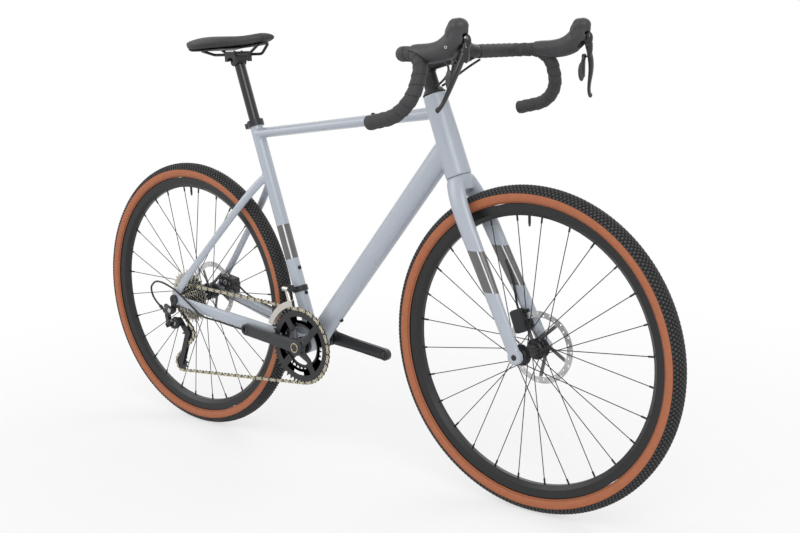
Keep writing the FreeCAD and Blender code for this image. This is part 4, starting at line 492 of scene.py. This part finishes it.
def bolt_head(shape, spot, axis, radius, height):
    """A round head with a sunk socket."""
    place = Matrix.Translation(spot) @ axis.to_track_quat("Z", "Y").to_matrix().to_4x4()
    verts = bmesh.ops.create_cone(shape, cap_ends=True, segments=24, radius1=radius,
                                  radius2=radius * 0.88, depth=height, matrix=place)["verts"]
    faces = {face for vert in verts for face in vert.link_faces}
    top = max(faces, key=lambda face: (face.calc_center_median() - spot).dot(axis))
    bmesh.ops.inset_region(shape, faces=[top], thickness=radius * 0.4)
    bmesh.ops.translate(shape, verts=top.verts, vec=-axis * height * 0.4)


for side, hand in ((-1, "right"), (1, "left")):
    outward = Vector((0, side, 0))
    pivot = BAR + Vector((PIVOT.x, side * PIVOT.y, PIVOT.z))
    tip = BAR + Vector((0.150, side * 0.278, -0.104))
    swellings = [(pivot + Vector((0.0105, 0, -0.003)), (0.0095, 0.008, 0.0145)),
                 (pivot + Vector((0.011, side * 0.003, -0.022)), (0.0065, 0.0085, 0.022)),
                 (tip, (0.0042, 0.0054, 0.0058))]
    soft_skin("blade_" + hand, ("brake_lever_" + hand,), 0.0008, 4, gloss_black, "brake_lever_" + hand,
              "gloss_black", balls=swellings)
    fin = pivot + Vector((-0.0185, side * 0.018, -0.075))
    soft_skin("paddle_" + hand, ("shift_paddle_" + hand,), 0.0008, 4, paddle_grey, "shift_paddle_" + hand,
              "paddle_grey", balls=[(fin, (0.0075, 0.0075, 0.021))])
    shape = bmesh.new()
    for ahead, out, up, radius in LEVER_SCREWS:
        bolt_head(shape, pivot + Vector((ahead, side * out, up)), outward, radius, 0.0018)
    new_piece("lever_screws_" + hand, shape, [bright_steel], "brake_lever_" + hand, "bright_steel")
    shape = bmesh.new()
    bolt_head(shape, pivot + Vector((-0.026, side * 0.0166, -0.013)), outward, 0.0032, 0.003)
    new_piece("hood_screw_" + hand, shape, [bright_steel], "steering", "bright_steel")

# Seatpost and saddle. A glossy black post with a two-bolt head clamps steel rails under a nylon
# shell. The cover is thin grained skin drawn over firm foam, with a sunk channel down its middle.
SADDLE_TAIL = -0.467
SADDLE_LENGTH = 0.264
CHANNEL_DEPTH = 0.0042
CHANNEL_HALF = 0.0085
black_plastic = metal("black_plastic", linear(36, 36, 38), 0.5, 0.0, 700.0, 0.00008)
dress(gloss_black, "seatpost")
dress(black_alloy, "saddle_clamp")
dress(black_steel, "saddle_rails")
dress(black_plastic, "saddle_shell")

saddle_skin, point = new_finish("saddle_skin")
grain = point.cells(700.0)
rubbed = point.noise(22.0, 4.0)
aside = abs(point.along((0, 0, 0), (0, 1, 0)))
from_tail = point.along((SADDLE_TAIL, 0, 0), (1, 0, 0))
seam = (aside - (0.052 - from_tail.step(0.04, 0.19) * 0.037)).between(-0.0009, 0.0009, 0.0005)
set_finish(saddle_skin, {"Base Color": seam.mix(rubbed.mix(linear(38, 38, 39), linear(50, 50, 52)),
                                                linear(26, 26, 27)),
                         "Roughness": rubbed * 0.14 + 0.5}, grain * 0.25 - seam, 0.0006)
saddle = soft_skin("saddle_pad", ("saddle_cover",), 0.0022, 8, saddle_skin, "saddle", "saddle_skin")
for vert in saddle.data.vertices:
    share = (vert.co.x - SADDLE_TAIL) / SADDLE_LENGTH
    if vert.normal.z > 0.2:
        window = max(0, min(1, (share - 0.12) / 0.2)) * max(0, min(1, (0.86 - share) / 0.2))
        vert.co.z -= CHANNEL_DEPTH * window * math.exp(-(vert.co.y / CHANNEL_HALF) ** 2)

# Wheels. Aluminium box rims and hubs, anodised black, are laced with black butted spokes. Brake
# rotors are stamped steel with a ground track on a dark carrier.
rim_alloy = metal("rim_alloy", linear(36, 36, 38), 0.34, 0.3, 300.0)
AXLES = {"front": Vector((0.536, 0, 0.356)), "rear": Vector((-0.536, 0, 0.356))}
TRACK_EDGE = (0.062, 0.065)
for end, axle in AXLES.items():
    dress(rim_alloy, end + "_rim")
    dress(black_steel, end + "_spokes")
    dress(black_alloy, end + "_hub")
    rotor_steel, point = new_finish(end + "_rotor_steel")
    distance, _ = point.around(axle)
    track = distance.step(*TRACK_EDGE)
    ground = distance.wave(0.0006)
    tarnish = point.noise(60.0, 4.0)
    steel = tarnish.mix(linear(178, 178, 178), linear(214, 214, 214))
    set_finish(rotor_steel, {"Base Color": track.mix(linear(112, 112, 114), steel),
                             "Metallic": track * 0.2 + 0.8,
                             "Roughness": 0.42 - track * 0.12 + tarnish * 0.08}, ground * track, 0.00003)
    dress(rotor_steel, end + "_rotor")

# Tyres. A cotton casing with tan rubber walls is moulded to a black tread of small close blocks.
# The casing is one closed section spun about the axle, and the blocks are spun after it.
CASING_HIGH = 0.0201
CASING_WIDE = 0.0217
CASING_THICK = 0.003
RING = 0.3335
WALL_RIB = (0.3215, 0.3228)
WEAVE = 0.0011
TREAD_ANGLE = 74
BLOCK_HIGH = 0.0033
BLOCK_MIDDLE = 0.0007
BLOCK_TAPER = 0.78
ROWS = ((7, 4.0, 5.6), (21, 4.1, 5.4), (35, 4.3, 5.2), (50, 4.6, 5.0), (65, 4.2, 4.2))
BLOCKS = 236

tread_rubber, point = new_finish("tread_rubber")
scuff = point.noise(40.0, 4.0)
set_finish(tread_rubber, {"Base Color": scuff.mix(linear(50, 50, 51), linear(72, 72, 73)),
                          "Roughness": scuff * 0.15 + 0.6}, point.noise(900.0), 0.0002)
# Painted shade: the casing under and between the tread blocks is coloured far darker than the blocks, for
# the shade in the grooves.
groove_shade_rubber = metal("groove_shade_rubber", linear(24, 24, 25), 0.8, 0.0, 900.0, 0.0002)
for end, axle in AXLES.items():
    tan_wall, point = new_finish(end + "_tan_wall")
    distance, angle = point.around(axle)
    mottle = point.noise(120.0, 4.0)
    threads = (angle * 0.34 + distance).wave(WEAVE) * (angle * 0.34 - distance).wave(WEAVE)
    rib = distance.between(*WALL_RIB, 0.0003)
    tan = mottle.mix(linear(160, 92, 58), linear(180, 108, 72))
    set_finish(tan_wall, {"Base Color": rib.mix(tan, linear(126, 72, 46)),
                          "Roughness": mottle * 0.12 + 0.55}, threads * 0.5 + rib, 0.0003)
    shape = bmesh.new()
    section = []
    for degrees in range(-136, 137, 8):
        lean = math.radians(degrees)
        across, up = CASING_WIDE * math.sin(lean), CASING_HIGH * math.cos(lean)
        section.append(shape.verts.new(axle + Vector((0, across, RING + up))))
    inner = CASING_HIGH - CASING_THICK
    for degrees in range(128, -129, -32):
        lean = math.radians(degrees)
        across, up = inner * math.sin(lean), inner * math.cos(lean)
        section.append(shape.verts.new(axle + Vector((0, across, RING + up))))
    loop = [shape.edges.new((first, second)) for first, second in zip(section, section[1:] + section[:1])]
    bmesh.ops.spin(shape, geom=section + loop, cent=axle, axis=(0, 1, 0), angle=2 * math.pi, steps=168,
                   use_merge=True)
    bmesh.ops.remove_doubles(shape, verts=shape.verts, dist=1e-6)
    bmesh.ops.recalc_face_normals(shape, faces=shape.faces)
    for face in shape.faces:
        middle = face.calc_center_median() - axle
        outward = math.hypot(middle.x, middle.z) - RING
        face.material_index = 0 if math.degrees(math.atan2(abs(middle.y), outward)) < TREAD_ANGLE else 1
    casing_faces = len(shape.faces)
    blocks = []
    for number, (degrees, wide, long) in enumerate(ROWS):
        for side in (-1, 1):
            lean = math.radians(degrees) * side
            tilt = Matrix.Rotation(-lean, 4, "X")
            turn = Matrix.Rotation(math.pi / BLOCKS * ((number + (side > 0)) % 2), 4, "Y")
            casing = math.hypot(CASING_WIDE * math.sin(lean), CASING_HIGH * math.cos(lean))
            lift = Matrix.Translation((0, 0, casing + BLOCK_MIDDLE))
            seat = Matrix.Translation((0, 0, RING)) @ tilt @ lift
            size = Matrix.Diagonal((long / 1000, wide / 1000, BLOCK_HIGH, 1))
            place = Matrix.Translation(axle) @ turn @ seat @ size
            verts = bmesh.ops.create_cube(shape, size=1, matrix=place)["verts"]
            top = sorted(verts, key=lambda vert: (vert.co - axle).length)[4:]
            middle = sum((vert.co for vert in top), Vector()) / 4
            for vert in top:
                vert.co = middle + (vert.co - middle) * BLOCK_TAPER
            blocks += verts
    sides = {face for vert in blocks for face in vert.link_faces}
    edges = {edge for vert in blocks for edge in vert.link_edges}
    bmesh.ops.spin(shape, geom=blocks + list(edges) + list(sides), cent=axle, axis=(0, 1, 0),
                   angle=2 * math.pi * (BLOCKS - 1) / BLOCKS, steps=BLOCKS - 1, use_duplicate=True)
    tyre = new_piece(end + "_tyre_tread", shape, [groove_shade_rubber, tan_wall, tread_rubber], end + "_wheel",
                     "tyre_rubber", end + "_tyre")
    for face in tyre.data.polygons:
        if face.index >= casing_faces:
            face.use_smooth = False
            face.material_index = 2

# Brakes. Two-piece cast calipers with round pistons, painted black and bolted with plated steel,
# carry a pad of grey compound on each side of the rotor.
CALIPERS = {"front": (Vector((0.4862, 0.04, 0.4094)), STEER_UP, 0.0125),
            "rear": (Vector((-0.4704, 0.057, 0.388)), Vector((0.987, 0, -0.161)), 0.0145)}
CALIPER_HEADS = ((-1, 0.0018), (1, 0.003))
CALIPER_BOLT_REACH = 0.0165
CALIPER_BOLT_RADIUS = 0.0042
PISTON_CAP_RADIUS = 0.0075
caliper_steel = metal("caliper_steel", linear(150, 150, 150), 0.3, 0.9)
pad_compound = metal("pad_compound", linear(92, 88, 82), 0.8, 0.1, 800.0, 0.0002)
for end, body in (("front", "steering"), ("rear", "frame")):
    soft_skin(end + "_caliper_body", (end + "_caliper",), 0.0009, 3, black_alloy, body, "black_alloy")
    middle, along, half_width = CALIPERS[end]
    shape = bmesh.new()
    for face, height in CALIPER_HEADS:
        outward = Vector((0, face, 0))
        bolt_face = middle + outward * (half_width + height / 2)
        for share in (-1, 1):
            spot = bolt_face + along * (CALIPER_BOLT_REACH * share)
            bolt_head(shape, spot, outward, CALIPER_BOLT_RADIUS, height)
        if face < 0:
            bolt_head(shape, bolt_face, outward, PISTON_CAP_RADIUS, height)
    new_piece(end + "_caliper_bolts", shape, [caliper_steel], body, "black_alloy")
    dress(pad_compound, end + "_pad_inner", end + "_pad_outer")

# Cranks and rings. Forged aluminium arms, anodised dark grey, with a bright rim round the cap. The
# large ring has a broad web with a window between each pair of bolts, and teeth worn bright.
crank_alloy = metal("crank_alloy", linear(58, 59, 62), 0.36, 0.35, 900.0, 0.00003)
CRANK_ANGLE = math.radians(172.5)
RING_PLANE = -0.0506
CAP_FACE = -0.0724
CAP_RADIUS = 0.0108
PEDALS = {"right": Vector((-0.2728, -0.0688, 0.3075)), "left": Vector((0.0693, 0.0688, 0.2625))}
ARM_THICK = 0.0118
ARM_WIDE = 0.0285
EYE_FACE = 0.0069
EYE_RADIUS = 0.0098
TOOTH_ROOT = (0.0935, 0.0945)
WEB_CELLS = 120
WEB_LEVELS = (0.0575, 0.0655, 0.0735, 0.0762)
WEB_THICK = 0.0036
WEB_OUT = 0.0001
WINDOW_LEVEL = 1
WINDOW_HALF = 13


def wire_rim(shape, centre, radius, wire, sides, steps):
    """A round wire bent to a closed ring about an axis across the bike."""
    place = Matrix.Translation(centre + Vector((radius, 0, 0)))
    section = bmesh.ops.create_circle(shape, cap_ends=False, segments=sides, radius=wire,
                                      matrix=place)["verts"]
    bmesh.ops.spin(shape, geom=section + ring_edges(section), cent=centre, axis=(0, 1, 0),
                   angle=2 * math.pi, steps=steps, use_merge=True)
    bmesh.ops.remove_doubles(shape, verts=shape.verts, dist=1e-6)
    bmesh.ops.recalc_face_normals(shape, faces=shape.faces)


eyes = bmesh.new()
for hand, pedal in PEDALS.items():
    boss = Vector((CRANK_AXLE.x, pedal.y * 0.905, CRANK_AXLE.z))
    flat = ((pedal - boss).length, ARM_THICK, ARM_WIDE)
    soft_skin("crank_arm_" + hand, ("crank_" + hand,), 0.0012, 4, crank_alloy, "crank", "crank_alloy",
              slabs=[(boss, pedal, flat)])
    for face in (-EYE_FACE, EYE_FACE):
        wire_rim(eyes, pedal + Vector((0, face, 0)), EYE_RADIUS, wire=0.0009, sides=10, steps=40)
new_piece("pedal_eye_rims", eyes, [black_steel], "crank", "crank_alloy")
ring_alloy, point = new_finish("ring_alloy")
distance, _ = point.around(CRANK_AXLE)
tooth = distance.step(*TOOTH_ROOT)
oiled = point.noise(50.0, 4.0)
set_finish(ring_alloy, {"Base Color": tooth.mix(oiled.mix(linear(36, 36, 38), linear(50, 50, 53)),
                                                linear(120, 118, 112)),
                        "Metallic": tooth * 0.5 + 0.3, "Roughness": oiled * 0.16 + 0.3},
           point.noise(600.0), 0.00003)
dress(ring_alloy, "chainrings")
shape = bmesh.new()
turns = [2 * math.pi * cell / WEB_CELLS for cell in range(WEB_CELLS)]
spokes = [Vector((math.cos(turned), 0, math.sin(turned))) for turned in turns]
web_centre = CRANK_AXLE + Vector((0, RING_PLANE, 0))
grid = [[shape.verts.new(web_centre + spoke * radius) for spoke in spokes] for radius in WEB_LEVELS]
for level in range(len(WEB_LEVELS) - 1):
    for cell in range(WEB_CELLS):
        from_arm = (math.degrees(2 * math.pi * (cell + 0.5) / WEB_CELLS - CRANK_ANGLE) + 45) % 90 - 45
        if level != WINDOW_LEVEL or abs(from_arm) > WINDOW_HALF:
            beyond = (cell + 1) % WEB_CELLS
            shape.faces.new((grid[level][cell], grid[level][beyond],
                             grid[level + 1][beyond], grid[level + 1][cell]))
# The new faces have no normals yet, so this doubles the sheet without giving it thickness.
bmesh.ops.solidify(shape, geom=shape.faces, thickness=WEB_THICK)
web_middle = sum(vert.co.y for vert in shape.verts) / len(shape.verts)
bmesh.ops.translate(shape, verts=shape.verts, vec=(0, RING_PLANE - WEB_OUT - web_middle, 0))
bmesh.ops.recalc_face_normals(shape, faces=shape.faces)
sharp = [edge for edge in shape.edges if edge.calc_face_angle(0) > 0.9]
bmesh.ops.bevel(shape, geom=sharp, offset=0.0006, offset_type="OFFSET", segments=2, profile=0.5,
                affect="EDGES", material=-1)
new_piece("ring_web", shape, [ring_alloy], "crank", "crank_alloy")
brass = metal("brass_rim", linear(206, 190, 150), 0.25, 1.0)
shape = bmesh.new()
wire_rim(shape, CRANK_AXLE + Vector((0, CAP_FACE, 0)), CAP_RADIUS, wire=0.0011, sides=12, steps=48)
new_piece("crank_cap_rim", shape, [brass], "crank", "crank_alloy")

# Chain and cassette. Stamped plates, waisted between the pins, are riveted in pairs round rollers:
# bright outer pairs alternate with darker inner ones. Cogs are plated steel.
PLATE_THICK = 0.0008
INNER_FACE = 0.0012
OUTER_FACE = 0.0021
PLATE_RADIUS = 0.0042
WAIST = 0.0024
ROLLER = (0.0037, 0.0023, 12)
PIN = (0.0017, 0.0062, 10)
LONGEST_LINK = 0.02
outer_steel = metal("outer_steel", linear(204, 196, 174), 0.28, 1.0, 400.0)
inner_steel = metal("inner_steel", linear(96, 93, 86), 0.36, 1.0, 400.0)
loose = bmesh.new()
loose.from_mesh(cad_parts["chain"].data)
bmesh.ops.remove_doubles(loose, verts=loose.verts, dist=1e-7)
centres = []
waiting = set(loose.verts)
while waiting:
    island = []
    front = [waiting.pop()]
    while front:
        vert = front.pop()
        island.append(vert)
        for edge in vert.link_edges:
            other = edge.other_vert(vert)
            if other in waiting:
                waiting.remove(other)
                front.append(other)
    low = Vector([min(vert.co[axis] for vert in island) for axis in range(3)])
    high = Vector([max(vert.co[axis] for vert in island) for axis in range(3)])
    if abs((low.y + high.y) / 2 - RING_PLANE) < 0.0003:
        centres.append((low + high) / 2)
loose.free()
# Sorted, so that the walk round the chain starts at the same link in every run.
centres.sort(key=tuple)
chain_run = [centres.pop()]
while centres:
    nearest = min(centres, key=lambda centre: (centre - chain_run[-1]).length)
    centres.remove(nearest)
    chain_run.append(nearest)


def link_plate(shape, start, end, face, finish):
    """One waisted plate between two pins."""
    ahead = (end - start).normalized()
    up = ahead.cross(Vector((0, 1, 0)))
    outline = []
    for pin, heading, waist in ((end, 0, WAIST), (start, 180, -WAIST)):
        for step in range(-3, 4):
            turned = math.radians(heading + step * 32)
            outline.append(pin + (ahead * math.cos(turned) + up * math.sin(turned)) * PLATE_RADIUS)
        outline.append((start + end) / 2 + up * waist)
    verts = [shape.verts.new(spot + Vector((0, face, 0))) for spot in outline]
    plate = shape.faces.new(verts)
    plate.material_index = finish
    grown = bmesh.ops.extrude_face_region(shape, geom=[plate])["geom"]
    bmesh.ops.translate(shape, verts=only_verts(grown), vec=(0, PLATE_THICK, 0))


shape = bmesh.new()
for number, start in enumerate(chain_run):
    end = chain_run[(number + 1) % len(chain_run)]
    if (end - start).length > LONGEST_LINK:
        continue
    near = OUTER_FACE if number % 2 else INNER_FACE
    link_plate(shape, start, end, near, number % 2)
    link_plate(shape, start, end, -near - PLATE_THICK, number % 2)
    across = Matrix.Translation(start) @ Matrix.Rotation(math.pi / 2, 4, "X")
    for radius, length, sides in (ROLLER, PIN):
        bmesh.ops.create_cone(shape, cap_ends=True, segments=sides, radius1=radius, radius2=radius,
                              depth=length, matrix=across)
bmesh.ops.recalc_face_normals(shape, faces=shape.faces)
chain = new_piece("chain_links", shape, [inner_steel, outer_steel], "frame", "bright_steel", "chain")
for face in chain.data.polygons:
    face.use_smooth = False
dress(bright_steel, "cassette")

# Derailleurs. Forged arms and links, anodised black and swollen at the joints, carry a stamped
# cage and nylon pulleys on bright bolts. The front cage is bright plated steel.
dress(bright_steel, "fd_cage")
dress(black_alloy, "fd_body", "rd_cage")
LINK_TOP = Vector((-0.582, -0.072, 0.322))
LINK_LOW = Vector((-0.56, -0.084, 0.29))
LINK_AXIS = Vector((0.824, 0, 0.5665))
PIN_REACH = 0.0126
PIN_HEAD = (0.0036, 0.002)
HANGER_BOLT = Vector((-0.541, -0.0972, 0.328))
KNUCKLE_BOLT = Vector((-0.5475, -0.0783, 0.2885))
BOLT_OUT = Vector((0, -1, 0))
BOLT_HEAD = (0.0062, 0.002)
FORGINGS = {"rd_mount": ("frame", ()),
            "rd_link": ("rd_link", [((LINK_TOP + LINK_LOW) / 2, (0.0105, 0.0062, 0.0125))]),
            "rd_knuckle": ("rd_knuckle", [(Vector((-0.5505, -0.0695, 0.2885)), (0.0155, 0.0092, 0.0165)),
                                          (Vector((-0.558, -0.0705, 0.2825)), (0.0135, 0.0088, 0.012))])}
for node, (body, swellings) in FORGINGS.items():
    soft_skin(node + "_forging", (node,), 0.0008, 4, black_alloy, body, "black_alloy", balls=swellings)
dress(black_plastic, "rd_guide_pulley", "rd_tension_pulley")
shape = bmesh.new()
bolt_head(shape, HANGER_BOLT, BOLT_OUT, *BOLT_HEAD)
bolt_head(shape, LINK_TOP + LINK_AXIS * PIN_REACH, LINK_AXIS, *PIN_HEAD)
new_piece("rd_mount_bolts", shape, [bright_steel], "frame", "bright_steel")
shape = bmesh.new()
bolt_head(shape, LINK_LOW + LINK_AXIS * PIN_REACH, LINK_AXIS, *PIN_HEAD)
bolt_head(shape, KNUCKLE_BOLT, BOLT_OUT, *BOLT_HEAD)
new_piece("rd_knuckle_bolts", shape, [bright_steel], "rd_knuckle", "bright_steel")

# Studio. A pale floor and a white surround, with large soft lamps above and to both sides. Rays
# that look at them see them brighter than they light the bike.


def looking(tree):
    """1 for rays from the camera and for those that mirrors and glass send on, else 0."""
    path = tree.nodes.new("ShaderNodeLightPath")
    seen = Tone(path.outputs["Is Camera Ray"])
    for ray in ("Is Glossy Ray", "Is Transmission Ray"):
        seen = seen.sum("MAXIMUM", seen, Tone(path.outputs[ray]))
    return seen


floor_paint, point = new_finish("studio_floor")
shade = point.noise(1.5)
pale = shade.mix((0.86, 0.86, 0.87, 1), (0.9, 0.9, 0.9, 1))
set_finish(floor_paint, {"Base Color": pale, "Roughness": 0.85})
away = point.node("ShaderNodeVectorMath", {"operation": "LENGTH"}, {0: point}, "Value").step(0.7, 2.2)
glow = floor_paint.node_tree.nodes.new("ShaderNodeEmission")
glow.inputs["Color"].default_value = (1, 1, 1, 1)
blend = floor_paint.node_tree.nodes.new("ShaderNodeMixShader")
links = floor_paint.node_tree.links
links.new((looking(floor_paint.node_tree) * (away * 0.38 + 0.62)).socket, blend.inputs[0])
links.new(floor_paint.node_tree.nodes["Principled BSDF"].outputs[0], blend.inputs[1])
links.new(glow.outputs[0], blend.inputs[2])
links.new(blend.outputs[0], floor_paint.node_tree.nodes["Material Output"].inputs["Surface"])
shape = bmesh.new()
bmesh.ops.create_grid(shape, x_segments=1, y_segments=1, size=12)
mesh = bpy.data.meshes.new("floor")
shape.to_mesh(mesh)
shape.free()
floor = bpy.data.objects.new("floor", mesh)
mesh.materials.append(floor_paint)
bpy.context.scene.collection.objects.link(floor)

world = bpy.data.worlds.new("studio")
bpy.context.scene.world = world
world.use_nodes = True
background = world.node_tree.nodes["Background"]
background.inputs["Color"].default_value = (1, 1, 1, 1)
strength = looking(world.node_tree) * 0.35 + 0.65
world.node_tree.links.new(strength.socket, background.inputs["Strength"])

LAMPS = (
    ("key", (2.6, -2.4, 3.0), 2.4, 62),
    ("side", (-2.8, -2.2, 2.2), 2.2, 30),
    ("back", (-0.6, 3.0, 2.8), 2.6, 34),
)
for name, place, size, power in LAMPS:
    lamp = bpy.data.lights.new(name, "AREA")
    lamp.size = size
    lamp.energy = power
    light = bpy.data.objects.new(name, lamp)
    bpy.context.scene.collection.objects.link(light)
    light.location = place
    light.rotation_euler = (Vector((0, 0, 0.5)) - Vector(place)).to_track_quat("-Z", "Y").to_euler()

# Camera. It stands ahead of the bike on its right, at chest height, and looks slightly down. The
# turns and the lens were fitted to the wheels and the frame lines of the photo.
YAW, PITCH, ROLL = math.radians(129.935), math.radians(-10.862), math.radians(1.647)
forward = Vector((math.cos(YAW) * math.cos(PITCH), math.sin(YAW) * math.cos(PITCH), math.sin(PITCH)))
right = forward.cross(Vector((0, 0, 1))).normalized()
upward = right.cross(forward)
lean = Quaternion(forward, ROLL)
right, upward = lean @ right, lean @ upward
camera = bpy.data.objects.new("camera", bpy.data.cameras.new("camera"))
camera.data.sensor_width = 36
camera.data.lens = 51.82
turn = Matrix((right, upward, -forward)).transposed().to_4x4()
camera.matrix_world = Matrix.Translation((1.847, -1.9896, 1.0019)) @ turn
bpy.context.scene.collection.objects.link(camera)
bpy.context.scene.camera = camera
bpy.context.scene.view_settings.view_transform = "Standard"
